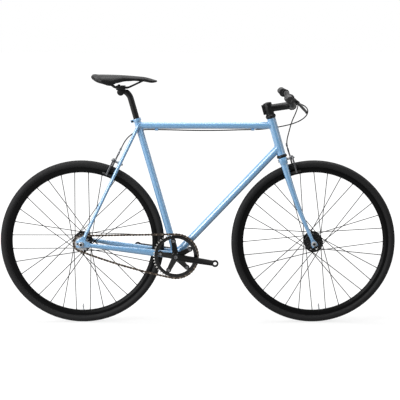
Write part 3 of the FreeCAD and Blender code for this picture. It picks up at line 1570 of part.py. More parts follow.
def build_cranks():
    """Spindle, both cranks, their bolts and the chainring bolts."""
    way = crank_direction()
    build_crank("right_crank", -LEFT, way, True)
    build_crank("left_crank", LEFT, -way, False)
    reach = LEFT * size("spindle_square_reach")
    round_reach = LEFT * size("spindle_round_reach")
    place = frame_at(bracket - reach, LEFT, way)
    bar = box("spindle_bar", "spindle_square", "spindle_square", "2 * spindle_square_reach", place)
    turned_bar = cylinder("spindle_turned", bracket - reach, bracket + reach, "spindle_diameter")
    ends = doc.addObject("Part::MultiCommon", "spindle_ends")
    ends.Shapes = [bar, turned_bar]
    middle = cylinder("spindle_middle", bracket - round_reach, bracket + round_reach, "spindle_diameter")
    tools = []
    screws = []
    for side in SIDES:
        end = bracket + reach * side
        inner = end - LEFT * (side * size("crank_bolt_depth"))
        tools.append(cylinder("spindle_thread", inner, end, "crank_bolt_diameter"))
        sizes = ("crank_bolt_diameter", "crank_bolt_head_diameter", "crank_bolt_head_height")
        screws.append(bolt("crank_bolt", end, inner, *sizes))
    keep("crank_spindle", cut("crank_spindle", fuse("spindle_solid", ends, middle), *tools))
    group("crank_bolts", *screws)
    build_ring_bolts(way)


def build_ring_bolts(way):
    """Chainring bolts through the ring and the spider."""
    count = int(size("ring_bolt_count"))
    plate = size("sprocket_thickness") / 2
    start = bracket - LEFT * (size("chain_line") - plate)
    finish = bracket - LEFT * (size("chain_line") + plate + size("spider_thickness"))
    screws = []
    for index in range(count):
        turn = FreeCAD.Rotation(LEFT, (360 * index + 180) / count)
        aside = turn.multVec(way) * (size("bolt_circle_diameter") / 2)
        sizes = ("ring_bolt_diameter", "ring_bolt_head_diameter", "ring_bolt_head_height")
        inner = bolt("ring_bolt", start + aside, finish + aside, *sizes)
        cap_end = finish + aside - LEFT * size("ring_bolt_head_height")
        cap = cylinder("ring_bolt_cap", finish + aside, cap_end, "ring_bolt_head_diameter")
        screws.append(fuse("chainring_bolt", inner, cap))
    group("chainring_bolts", *screws)


build_cranks()


def build_bracket_cups():
    """Screwed cups that carry the spindle in the bottom bracket shell."""
    bore = "spindle_diameter / 2 + running_clearance"
    sleeve = "shell_diameter / 2 - shell_wall"
    corners = (
        (bore, "-cup_sleeve_length"),
        (sleeve, "-cup_sleeve_length"),
        (sleeve, 0.0),
        ("cup_flange_diameter / 2", 0.0),
        ("cup_flange_diameter / 2", "cup_flange_thickness"),
        (bore, "cup_flange_thickness"),
    )
    cups = []
    for side in SIDES:
        face = bracket + LEFT * (side * size("shell_width") / 2)
        cups.append(turned("bracket_cup", corners, frame_at(face, LEFT * side, AHEAD)))
    group("bottom_bracket_cups", *cups)


build_bracket_cups()


def build_chain():
    """Roller chain: inner links with their rollers, and outer links, each plate a solid."""
    inner_half = size("chain_inner_width") / 2
    thickness = size("chain_plate_thickness")
    slack = size("running_clearance")
    inner_links = []
    outer_links = []
    for index, start in enumerate(rollers):
        finish = rollers[(index + 1) % len(rollers)]
        outer = index % 2
        near = inner_half + (thickness + slack if outer else 0.0)
        for side in SIDES:
            plate = link_plate(start, finish, side * near, side * thickness)
            (outer_links if outer else inner_links).append(plate)
        inner_links.append(roller(start, finish))
    keep("chain_inner_links", coded("chain_inner_links", Part.makeCompound(inner_links)))
    keep("chain_outer_links", coded("chain_outer_links", Part.makeCompound(outer_links)))


def link_plate(start, finish, offset, thickness):
    """Six-cornered side plate of one link."""
    frame = frame_at(start + LEFT * offset, LEFT, finish - start)
    radius = size("chain_plate_height") / 2
    corners = []
    for middle, turns in ((0.0, (120, 180, 240)), (size("chain_pitch"), (300, 0, 60))):
        for turn in turns:
            bend = math.radians(turn)
            corners.append(frame.multVec(point(middle + radius * math.cos(bend), radius * math.sin(bend), 0)))
    return Part.Face(Part.makePolygon(corners + corners[:1])).extrude(LEFT * thickness)


def roller(place, towards):
    """Six-sided roller between two inner plates, with its flats to the tooth gaps."""
    nearest = min((bracket + chain_side, rear_axle + chain_side), key=place.distanceToPoint)
    frame = frame_at(place - LEFT * (size("chain_inner_width") / 2), LEFT, place - nearest)
    radius = size("roller_diameter") / 2
    corners = []
    for turn in range(30, 390, 60):
        bend = math.radians(turn)
        corners.append(frame.multVec(point(radius * math.cos(bend), radius * math.sin(bend), 0)))
    return Part.Face(Part.makePolygon(corners + corners[:1])).extrude(LEFT * size("chain_inner_width"))


build_chain()


# Rim brakes


def build_brake(name, seat, out, up, axle, back_reach):
    """Side-pull calliper: two arms on a centre bolt, each with its pad at the rim's brake track."""
    first_layer = back_reach + size("brake_stand_off")
    layer = size("brake_arm_thickness") + size("brake_arm_gap")
    pad_line = first_layer + size("brake_arm_thickness") + size("brake_arm_gap") / 2
    track_radius = size("rim_diameter") / 2 - size("pad_overlap_drop")
    offset = axle - seat
    along = pad_line - offset.dot(out)
    rise = math.sqrt(track_radius ** 2 - along ** 2)
    reach = -offset.dot(up) - rise
    pad_way = unit(out * rise - up * along)
    for index, (side, hand) in enumerate(((1, "left"), (-1, "right"))):
        foot = first_layer + index * layer
        node = f"{name}_brake_{hand}_arm"
        pad_middle = seat + out * pad_line - up * reach
        build_brake_arm(node, seat, out, up, foot, side, reach, pad_middle, pad_way)
    end = seat + out * (first_layer + 2 * layer)
    start = seat - out * back_reach
    sizes = ("brake_bolt_diameter", "brake_bolt_head_diameter", "brake_bolt_head_height")
    shank = bolt(name + "_brake_shank", end, start, *sizes)
    collar = cylinder(name + "_brake_collar", seat + out * back_reach,
                      seat + out * (first_layer - size("brake_arm_gap")), "brake_bolt_head_diameter")
    nut_end = start - out * size("brake_bolt_head_height")
    nut = cylinder(name + "_brake_nut", start, nut_end, "brake_bolt_head_diameter")
    keep(name + "_brake_bolt", fuse(name + "_brake_bolt", shank, collar, nut))


def build_brake_arm(node, seat, out, up, foot, side, reach, pad_middle, pad_way):
    """One arm with its cable ear on the left and its pad, which lies along the rim."""
    place = FreeCAD.Placement(seat + out * foot, FreeCAD.Rotation(LEFT, up, LEFT.cross(up), "XYZ"))
    away = LEFT.cross(up).dot(out) < 0
    boss = size("brake_boss_diameter") / 2
    spread = size("brake_arm_spread")
    width = size("brake_arm_width")
    low = reach + size("pad_height") / 2
    corners = []
    for by_boss, by_spread, by_width, up_boss, up_drop in ARM_SHARES:
        x = side * (by_boss * boss + by_spread * spread + by_width * width)
        corners.append((x, up_boss * boss + up_drop * low))
    body = new_body(node + "_plate", place)
    sketch = draw_outline(new_sketch(body, "XY_Plane"), corners)
    raised = pad(body, sketch, "brake_arm_thickness")
    raised.Reversed = away
    hub = pad(body, draw_circle(new_sketch(body, "XY_Plane"), "brake_boss_diameter"), "brake_arm_thickness")
    hub.Reversed = away
    half_ear = size("brake_ear_width") / 2
    ear_low, ear_high, ear_rise = STOP_EAR_SHARES if side > 0 else PLAIN_EAR_SHARES
    rise = ear_rise * size("brake_ear_rise")
    far = size("brake_ear_reach")
    ear_corners = (
        (0.0, ear_low * boss),
        (far, rise - half_ear),
        (far + half_ear, rise + half_ear),
        (far - half_ear, rise + half_ear),
        (0.0, ear_high * boss),
    )
    ear = pad(body, draw_outline(new_sketch(body, "XY_Plane"), ear_corners), "brake_arm_thickness")
    ear.Reversed = away
    bore = "brake_bolt_diameter + 2 * running_clearance"
    pocket_through(body, draw_circle(new_sketch(body, "XY_Plane"), bore))
    rim_face = size("rim_width") / 2 + size("pad_clearance")
    thickness = spread - rim_face
    pad_start = pad_middle + LEFT * (side * (rim_face + thickness / 2)) - pad_way * (size("pad_length") / 2)
    rubber = box(node + "_pad", thickness, "pad_height", "pad_length", frame_at(pad_start, pad_way, LEFT))
    if side < 0:
        group(node, body, rubber)
        return
    stop = seat + out * (foot + size("brake_arm_thickness") / 2) + LEFT * far + up * (rise + half_ear)
    top = stop + up * size("adjuster_length")
    adjuster = cylinder(node + "_adjuster", stop, top, "adjuster_diameter")
    end = top + up * size("housing_gap")
    brake_stops[node] = (end + up * size("housing_lead"), end)
    group(node, body, rubber, adjuster)


brake_stops = {}
front_reach = size("crown_depth") / 2
rear_reach = size("bridge_diameter") / 2
build_brake("front", crown_middle, steer_ahead, steer_up, front_axle, front_reach)
build_brake("rear", bridge_place, rear_brake_out, rear_brake_up, rear_axle, rear_reach)


# Cables


def laid_from(start, route):
    """Places of a route that is given from a starting point."""
    return [start + point(*place) for place in route]


def build_cables():
    """Brake housings and the clips that hold the rear one under the top tube."""
    laid = {
        "front_brake_housing": (
            *lever_exits[1],
            *laid_from(bar_centre, FRONT_HOUSING_BAR_ROUTE),
            *laid_from(crown_middle, FRONT_HOUSING_CROWN_ROUTE),
            *brake_stops["front_brake_left_arm"],
        ),
        "rear_housing_lever_end": (
            *lever_exits[-1],
            *laid_from(bar_centre, REAR_HOUSING_BAR_ROUTE),
            *laid_from(top_front, REAR_HOUSING_HEAD_ROUTE),
        ),
        "rear_brake_housing": (
            *laid_from(top_front, REAR_HOUSING_FRONT_ROUTE),
            *laid_from(top_rear, REAR_HOUSING_SEAT_ROUTE),
            *brake_stops["rear_brake_left_arm"],
        ),
    }
    for node, route in laid.items():
        keep(node, swept(node, "housing_diameter", route))
    clips = []
    half = AHEAD * (size("guide_length") / 2)
    inner = "housing_diameter + 2 * housing_gap"
    outer = f"{inner} + 2 * guide_wall"
    for middle in (top_front + point(*FRONT_GUIDE_PLACE), top_rear + point(*REAR_GUIDE_PLACE)):
        hoop = cylinder("guide_hoop", middle - half, middle + half, outer)
        hole = cylinder("guide_hole", middle - half, middle + half, inner, overrun)
        top = cylinder("guide_top", top_rear, top_front, "top_tube_diameter")
        clips.append(cut("guide", hoop, hole, top))
    group("cable_guides", *clips)


build_cables()


# Saddle and seatpost
post_foot = seat_top - seat_up * size("seatpost_insertion")
post_knee = seat_top + seat_up * size("seatpost_straight")
post_turn = math.radians(size("seatpost_bend_angle"))
post_bend = size("seatpost_bend_radius")
knee_reach = post_bend * math.tan(post_turn / 2)
post_corner = post_knee + seat_up * knee_reach
head_way = seat_up * math.cos(post_turn) + seat_back * math.sin(post_turn)
post_end = post_corner + head_way * (knee_reach + size("seatpost_wall"))
saddle_top = seat_top.z + size("saddle_lift")
rail_height = saddle_top - size("rail_drop")
clamp_foot = rail_height - size("clamp_split") / 2 - size("clamp_plate_thickness")
clamp_middle = point(post_end.x - size("clamp_bolt_setback") / 2, 0, clamp_foot)
clamp_bolt_foot = point(post_end.x - size("clamp_bolt_setback"), 0, clamp_foot - size("clamp_bolt_depth"))
clamp_stack = 2 * size("clamp_plate_thickness") + size("clamp_split")
clamp_bolt_top = clamp_bolt_foot + UP * (size("clamp_bolt_depth") + clamp_stack)


def build_seatpost():
    """Seatpost bent back to a round head, which is trimmed flat and tapped for the rail clamp."""
    bends = (post_foot, post_corner, post_end)
    outside = swept("seatpost_outside", "seatpost_diameter", bends, post_bend)
    inside = swept("seatpost_inside", "seatpost_diameter - 2 * seatpost_wall", bends, post_bend)
    middle = clamp_middle - UP * size("post_head_drop")
    half = LEFT * (size("post_head_width") / 2)
    head = cylinder("seatpost_head", middle - half, middle + half, "post_head_diameter")
    trim_place = frame_at(clamp_middle, UP, AHEAD)
    room = box("seatpost_trim", "2 * clamp_width", "clamp_width", "clamp_width", trim_place)
    thread = cylinder("seatpost_thread", clamp_bolt_foot, clamp_bolt_top, "clamp_bolt_diameter")
    pipe = cut("seatpost_pipe", outside, inside, head)
    block = cut("seatpost_block", head, room, thread)
    keep("seatpost", fuse("seatpost", cut("seatpost_trimmed", pipe, room, thread), block))


build_seatpost()


def saddle_point(share):
    """Place along the saddle from its tail."""
    return seat_top.x - size("saddle_setback") + share * size("saddle_length")


def build_saddle():
    """Saddle shell as one padded solid lofted from tail to nose."""
    sections = []
    half = size("saddle_width") / 2
    base = saddle_top - size("saddle_height")
    for place, wide, top, skirt in SADDLE_STATION_SHARES:
        low = base + skirt * size("saddle_height")
        high = base + top * size("saddle_height")
        right = [(-y * wide * half, low + z * (high - low)) for y, z in SADDLE_CORNER_SHARES]
        left = [(-y, z) for y, z in reversed(right[1:])]
        corners = [point(saddle_point(place), y, z) for y, z in right + left]
        sections.append(Part.makePolygon(corners + corners[:1]))
    keep("saddle", coded("saddle", Part.makeLoft(sections, True, True)))


build_saddle()


def build_rails():
    """Two steel rails under the saddle, and the two plates and bolt that clamp them to the post."""
    rails = []
    for side in SIDES:
        route = [point(saddle_point(along), side * wide * size("rail_half_spacing"),
                       rail_height + high * size("rail_drop")) for along, wide, high in RAIL_SHARES]
        rails.append(swept("rail", "rail_diameter", route, size("rail_bend_radius")))
    group("saddle_rails", *rails)
    thickness = size("clamp_plate_thickness")
    upper_foot = clamp_middle + UP * (thickness + size("clamp_split"))
    hole = cylinder("clamp_hole", clamp_bolt_foot, clamp_bolt_top, "clamp_bolt_diameter", overrun)
    plates = []
    for name, foot in (("clamp_lower", clamp_middle), ("clamp_upper", upper_foot)):
        place = frame_at(foot, UP, AHEAD)
        plate = box(name + "_block", "clamp_length", "clamp_width", "clamp_plate_thickness", place)
        plates.append(cut(name, plate, hole, *rails))
    sizes = ("clamp_bolt_diameter", "clamp_bolt_head_diameter", "clamp_bolt_head_height")
    group("saddle_clamp", *plates, bolt("clamp_bolt", clamp_bolt_top, clamp_bolt_foot, *sizes))


build_rails()


def finish():
    """Rebuilds the document, tests every piece and writes one file for each sub-part."""
    doc.recompute()
    faults = []
    for item in doc.Objects:
        if "Invalid" in item.State or "Error" in item.State:
            faults.append(f"{item.Label}: {item.State}")
    for node, item in nodes.items():
        if item.Shape.isNull() or not item.Shape.isValid() or not item.Shape.Solids:
            faults.append(f"{node}: no valid solid")
    for name, (section, length) in swept_lengths.items():
        expected = math.pi * section.Radius.Value ** 2 * length
        volume = doc.getObject(name).Shape.Volume
        if abs(volume - expected) > VOLUME_SHARE * expected:
            faults.append(f"{name}: volume {volume:.0f} is not its section times its length {expected:.0f}")
    if faults:
        raise RuntimeError("; ".join(faults))
    os.makedirs("parts", exist_ok=True)
    for node, item in nodes.items():
        item.Shape.exportStep(os.path.join("parts", node + ".step"))
    print(len(nodes), "sub-parts written")


finish()
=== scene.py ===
import json
import logging
import math
from contextlib import contextmanager
from dataclasses import dataclass
from enum import Enum
from typing import Callable, Iterator, Sequence

import bpy
from mathutils import Matrix, Vector


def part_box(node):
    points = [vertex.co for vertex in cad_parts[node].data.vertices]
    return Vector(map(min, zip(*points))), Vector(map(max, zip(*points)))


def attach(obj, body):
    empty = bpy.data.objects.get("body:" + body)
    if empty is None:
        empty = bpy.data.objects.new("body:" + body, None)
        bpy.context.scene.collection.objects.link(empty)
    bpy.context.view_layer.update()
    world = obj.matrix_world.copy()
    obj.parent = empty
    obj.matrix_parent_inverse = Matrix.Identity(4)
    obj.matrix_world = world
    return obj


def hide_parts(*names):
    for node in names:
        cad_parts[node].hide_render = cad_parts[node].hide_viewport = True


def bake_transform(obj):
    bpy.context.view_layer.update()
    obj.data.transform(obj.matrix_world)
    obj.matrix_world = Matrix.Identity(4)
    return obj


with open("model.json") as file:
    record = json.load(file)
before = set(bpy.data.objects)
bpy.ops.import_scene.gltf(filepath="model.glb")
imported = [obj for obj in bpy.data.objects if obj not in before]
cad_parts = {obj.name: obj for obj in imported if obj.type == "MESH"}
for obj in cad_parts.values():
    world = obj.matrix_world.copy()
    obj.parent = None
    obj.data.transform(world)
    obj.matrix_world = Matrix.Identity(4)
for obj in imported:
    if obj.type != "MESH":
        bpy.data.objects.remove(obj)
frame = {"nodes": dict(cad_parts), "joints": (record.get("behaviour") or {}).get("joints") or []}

log = logging.getLogger("fixed_gear_bicycle")
logging.basicConfig(level=logging.INFO, format="%(name)s: %(message)s")

Piece = bpy.types.Object
Socket = bpy.types.NodeSocket
Owner = bpy.types.ID
Triple = tuple[float, float, float]
Point = Triple
Pair = tuple[float, float]
Ramp = tuple[Pair, Pair]
Profile = Sequence[Pair]

MM = 0.001
AHEAD = Vector((1, 0, 0))
LEFT = Vector((0, 1, 0))
UP = Vector((0, 0, 1))
# A direction that no housing ends along.
ASLANT = Vector((0, 1, 0.3))
WHITE = (1, 1, 1, 1)
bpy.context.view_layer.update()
JOINTS = {joint["name"]: joint for joint in frame["joints"]}
BRACKET = Vector(JOINTS["crank_spin"]["pos_m"])
SEAT_UP = Vector(JOINTS["seatpost_slide"]["axis"])
# Points nearer than these become one, in metres: in made pieces, turned ones and copies of CAD nodes.
TOUCH = 1e-6
TURNED_GAP = 1e-5
NODE_GAP = 2e-6
# Faces of a CAD node's copy that lean less than this become one, in degrees.
FLAT_ANGLE = 0.6
# Least cosine between a bolt's end face and the way that its head faces.
FACING = 0.98
# Least angle of an edge that is rounded and of one that stays sharp, in degrees, and faces of a rounding.
EASED_ANGLE = 38.0
SHARP_ANGLE = 40.0
EASED_STEPS = 2
# Order, steps and roundness of a closed ring's curve and of an open cord's.
RING_CURVE = (4, 3, 3)
CORD_CURVE = (3, 12, 4)
# Width of the patches of colour, in millimetres: on sprayed or grained surfaces, and on others.
WIDE_PATCH = 60.0
SMALL_PATCH = 18.0
# Detail and roughness of the noise in those patches and in the fine relief.
PATCH_NOISE = (4.0, 0.55)
RELIEF_NOISE = (3.0, 0.6)
RELIEF_STRENGTH = 0.5
# How much finer brush marks are across than along.
BRUSH_MARKS = (1.0, 8.0, 8.0)


# Small modelling tools


def deselect() -> None:
    """Deselects everything, the CAD nodes among them."""
    if bpy.context.object and bpy.context.object.mode != "OBJECT":
        bpy.ops.object.mode_set(mode="OBJECT")
    bpy.ops.object.select_all(action="DESELECT")


def activate(piece: Piece) -> None:
    """Makes one object the only selected and active one.

    Args:
        piece: The object to work on.
    """
    deselect()
    piece.select_set(True)
    bpy.context.view_layer.objects.active = piece


@contextmanager
def editing(piece: Piece) -> Iterator[None]:
    """Opens edit mode on one object with everything selected, and closes it again.

    Args:
        piece: The mesh object.
    """
    activate(piece)
    bpy.ops.object.mode_set(mode="EDIT")
    bpy.ops.mesh.select_all(action="SELECT")
    yield
    bpy.ops.object.mode_set(mode="OBJECT")


def select_parts(piece: Piece, kind: str, wanted: Callable[..., bool]) -> None:
    """Selects, in edit mode, the points or faces that answer a test.

    Args:
        piece: The mesh object, in edit mode.
        kind: VERT for points or FACE for faces.
        wanted: The test of a point or face.
    """
    bpy.ops.mesh.select_mode(type=kind)
    bpy.ops.mesh.select_all(action="DESELECT")
    bpy.ops.object.mode_set(mode="OBJECT")
    for part in piece.data.vertices if kind == "VERT" else piece.data.polygons:
        part.select = wanted(part)
    bpy.ops.object.mode_set(mode="EDIT")


def draw_out(way: Sequence[float]) -> None:
    """Extrudes what is selected, in edit mode, and moves it."""
    bpy.ops.mesh.extrude_region_move()
    bpy.ops.transform.translate(value=way)


def new_object(name: str, data: bpy.types.ID) -> Piece:
    """Adds an object with its mesh, curve, lamp or camera to the scene."""
    bpy.context.scene.collection.objects.link(piece := bpy.data.objects.new(name, data))
    return piece


def modify(piece: Piece, kind: str, **settings: object) -> None:
    """Adds one modifier and applies it.

    Args:
        piece: The mesh object.
        kind: The modifier's type.
        settings: Its properties.
    """
    activate(piece)
    modifier = piece.modifiers.new(kind.title(), kind)
    for name, value in settings.items():
        setattr(modifier, name, value)
    bpy.ops.object.modifier_apply(modifier=modifier.name)


def clean(piece: Piece, gap: float = TOUCH) -> Piece:
    """Merges doubled points and turns all faces outwards.

    Args:
        piece: The mesh object.
        gap: Points nearer than this become one, in metres.

    Returns:
        The same object.
    """
    with editing(piece):
        bpy.ops.mesh.remove_doubles(threshold=gap)
        bpy.ops.mesh.normals_make_consistent(inside=False)
    return piece


def smooth(piece: Piece, angle: float) -> Piece:
    """Shades a piece smooth, with its sharper edges kept.

    Args:
        piece: The mesh object.
        angle: The least angle of an edge that stays sharp, in degrees.

    Returns:
        The same object.
    """
    activate(piece)
    bpy.ops.object.shade_smooth_by_angle(angle=math.radians(angle))
    return piece


def join(name: str, pieces: Sequence[Piece]) -> Piece:
    """Joins objects into one.

    Args:
        name: The joined object's name.
        pieces: The objects.

    Returns:
        The joined object.
    """
    activate(pieces[0])
    for piece in pieces:
        piece.select_set(True)
    if len(pieces) > 1:
        bpy.ops.object.join()
    pieces[0].name = name
    pieces[0].data.name = name
    return pieces[0]


def placed(piece: Piece, place: Matrix) -> Piece:
    """Moves the mesh of a piece that is modelled at the origin to its place."""
    piece.data.transform(place)
    return piece


def repeat(name: str, model: Piece, places: Sequence[Matrix]) -> Piece:
    """Copies a model to each place, every copy with its own mesh, and joins the copies.

    Args:
        name: The joined object's name.
        model: The piece modelled once, at the origin. It is used up.
        places: Where the copies go.

    Returns:
        The joined object.
    """
    copies = [placed(new_object(name, model.data.copy()), place) for place in places]
    bpy.data.objects.remove(model)
    return join(name, copies)


def around(radius: float, turn: float, height: float = 0.0) -> Vector:
    """Place at a radius, an angle and a height about Z."""
    return Vector((radius * math.cos(turn), radius * math.sin(turn), height))


def frame_of(origin: Vector, axis: Vector, across: Vector) -> Matrix:
    """Placing whose Z runs along an axis and whose X leans towards another direction.

    Args:
        origin: The place.
        axis: The direction of Z.
        across: The direction that X leans towards.

    Returns:
        The placing.
    """
    z_axis = axis.normalized()
    y_axis = z_axis.cross(across).normalized()
    x_axis = y_axis.cross(z_axis)
    return Matrix.Translation(origin) @ Matrix((x_axis, y_axis, z_axis)).transposed().to_4x4()


def cylinder(name: str, radius: float, depth: float, sides: int) -> Piece:
    """Adds a cylinder that stands on the origin, along Z.

    Args:
        name: The object's name.
        radius: Its radius, in metres.
        depth: Its height, in metres.
        sides: How many sides it has.

    Returns:
        The object.
    """
    deselect()
    bpy.ops.mesh.primitive_cylinder_add(vertices=sides, radius=radius, depth=depth)
    bpy.context.object.name = name
    return placed(bpy.context.object, Matrix.Translation((0, 0, depth / 2)))


def turned(name: str, profile: Profile, steps: int) -> Piece:
    """Spins a closed profile about Z.

    Args:
        name: The object's name.
        profile: Pairs of radius and height, in metres.
        steps: How many steps a turn has.

    Returns:
        The object.
    """
    deselect()
    bpy.ops.mesh.primitive_circle_add(vertices=len(profile), radius=1.0)
    piece = bpy.context.object
    piece.name = name
    for vertex, (radius, height) in zip(piece.data.vertices, profile):
        vertex.co = (radius, 0, height)
    with editing(piece):
        bpy.ops.mesh.spin(steps=steps, angle=2 * math.pi, center=(0, 0, 0), axis=(0, 0, 1))
    return clean(piece, TURNED_GAP)


def ribs(start: float, end: float, pitch: float, rib: Profile) -> list[Pair]:
    """Repeats one rib along a profile.

    Args:
        start: Height of the first rib.
        end: Height at which no more ribs begin.
        pitch: Distance between ribs.
        rib: Pairs of radius and height of one rib.

    Returns:
        That stretch of the profile.
    """
    profile = []
    while start < end:
        profile += [(radius, start + height) for radius, height in rib]
        start += pitch
    return profile


def curve_through(name: str, points: Sequence[Sequence[float]], radius: float,
                  closed: bool = False) -> Piece:
    """Round bar along a smooth curve.

    Args:
        name: The object's name.
        points: The curve's control points.
        radius: The bar's radius, or zero for a bare line.
        closed: Whether the curve is a ring. An open one has finer steps and capped ends.

    Returns:
        The curve.
    """
    order, steps, roundness = RING_CURVE if closed else CORD_CURVE
    curve = bpy.data.curves.new(name, "CURVE")
    curve.dimensions = "3D"
    curve.bevel_depth = radius
    curve.bevel_resolution = roundness
    curve.use_fill_caps = not closed
    spline = curve.splines.new("NURBS")
    spline.points.add(len(points) - 1)
    for control, place in zip(spline.points, points):
        control.co = (*place, 1.0)
    spline.use_cyclic_u = closed
    spline.use_endpoint_u = not closed
    spline.order_u = order
    spline.resolution_u = steps
    return new_object(name, curve)


def node_copy(node: str) -> Piece:
    """Copies a CAD node's mesh into a new, merged object.

    Args:
        node: The node's name.

    Returns:
        The new object.
    """
    piece = new_object(node + "_finished", frame["nodes"][node].data.copy())
    with editing(piece):
        bpy.ops.mesh.customdata_custom_splitnormals_clear()
        bpy.ops.mesh.remove_doubles(threshold=NODE_GAP)
        bpy.ops.mesh.dissolve_limited(angle_limit=math.radians(FLAT_ANGLE))
    return piece


def loose_parts(piece: Piece) -> list[Piece]:
    """Splits an object into its separate solids.

    Args:
        piece: The object.

    Returns:
        One object for each solid.
    """
    with editing(piece):
        bpy.ops.mesh.separate(type="LOOSE")
    return list(bpy.context.selected_objects)


def eased(piece: Piece, width: float) -> Piece:
    """Rounds a piece's hard edges.

    Args:
        piece: The object.
        width: The rounding's width, in metres.

    Returns:
        The same object.
    """
    limit = math.radians(EASED_ANGLE)
    modify(piece, "BEVEL", width=width, segments=EASED_STEPS, limit_method="ANGLE", angle_limit=limit)
    return smooth(piece, SHARP_ANGLE)


def sink_sockets(piece: Piece, way: Vector, rim: float, depth: float) -> None:
    """Sinks a key socket into the end of each bolt in a mesh.

    Args:
        piece: The object.
        way: The direction in which the bolts' heads face.
        rim: Width of the rim left round the socket, in metres.
        depth: Depth of the socket, in metres.
    """
    def level(face: bpy.types.MeshPolygon) -> float:
        """How far out a face that looks the bolts' way lies, or minus infinity for others."""
        return round(face.center.dot(way), 5) if face.normal.dot(way) > FACING else -math.inf

    outermost = max(level(face) for face in piece.data.polygons)
    with editing(piece):
        select_parts(piece, "FACE", lambda face: level(face) == outermost)
        bpy.ops.mesh.inset(thickness=rim, use_individual=True)
        draw_out(-way * depth)


# Finishes


class Pattern(Enum):
    """How a surface was made, which decides its fine relief and colour drift."""

    SPRAYED = "sprayed"
    ANODISED = "anodised"
    BRUSHED = "brushed"
    MOULDED = "moulded"
    GRAINED = "grained"
    OILED = "oiled"


def linear(hex_colour: str) -> tuple[float, float, float, float]:
    """Turns an sRGB hex colour into linear light.

    Args:
        hex_colour: Six hex digits after a hash.

    Returns:
        Red, green, blue and alpha.
    """
    channels = []
    for start in (1, 3, 5):
        value = int(hex_colour[start:start + 2], 16) / 255
        channels.append(value / 12.92 if value <= 0.04045 else ((value + 0.055) / 1.055) ** 2.4)
    return (*channels, 1.0)


def blank(owner: Owner) -> Owner:
    """Empties the node tree of a new material or world.

    Args:
        owner: The material or world.

    Returns:
        The same one.
    """
    owner.use_nodes = True
    owner.node_tree.nodes.clear()
    return owner


def add_node(owner: Owner, kind: str, links: dict[str | int, object] | None = None,
             **settings: object) -> bpy.types.Node:
    """Adds one shader node with its settings, values and links.

    Args:
        owner: The material or world.
        kind: The node's type, without its common prefix.
        links: Input name or number to a value, or to the output socket that feeds it.
        settings: The node's properties.

    Returns:
        The node.
    """
    tree = owner.node_tree
    node = tree.nodes.new("ShaderNode" + kind)
    for name, value in settings.items():
        setattr(node, name, value)
    for name, value in (links or {}).items():
        if isinstance(value, Socket):
            tree.links.new(value, node.inputs[name])
        else:
            node.inputs[name].default_value = value
    return node


def ramp(owner: Owner, value: Socket, span: Pair, levels: Pair) -> Socket:
    """Level that goes from one end to the other as a value crosses a span, and stays there.

    Args:
        owner: The material or world.
        value: The value.
        span: Where the change begins and ends.
        levels: The level before and after.

    Returns:
        The level.
    """
    ends = {"From Min": span[0], "From Max": span[1], "To Min": levels[0], "To Max": levels[1]}
    return add_node(owner, "MapRange", {"Value": value, **ends}).outputs["Result"]


def calculate(owner: Owner, operation: str, *values: Socket | float) -> Socket:
    """Result of one sum of values in a node tree."""
    return add_node(owner, "Math", dict(enumerate(values)), operation=operation).outputs[0]


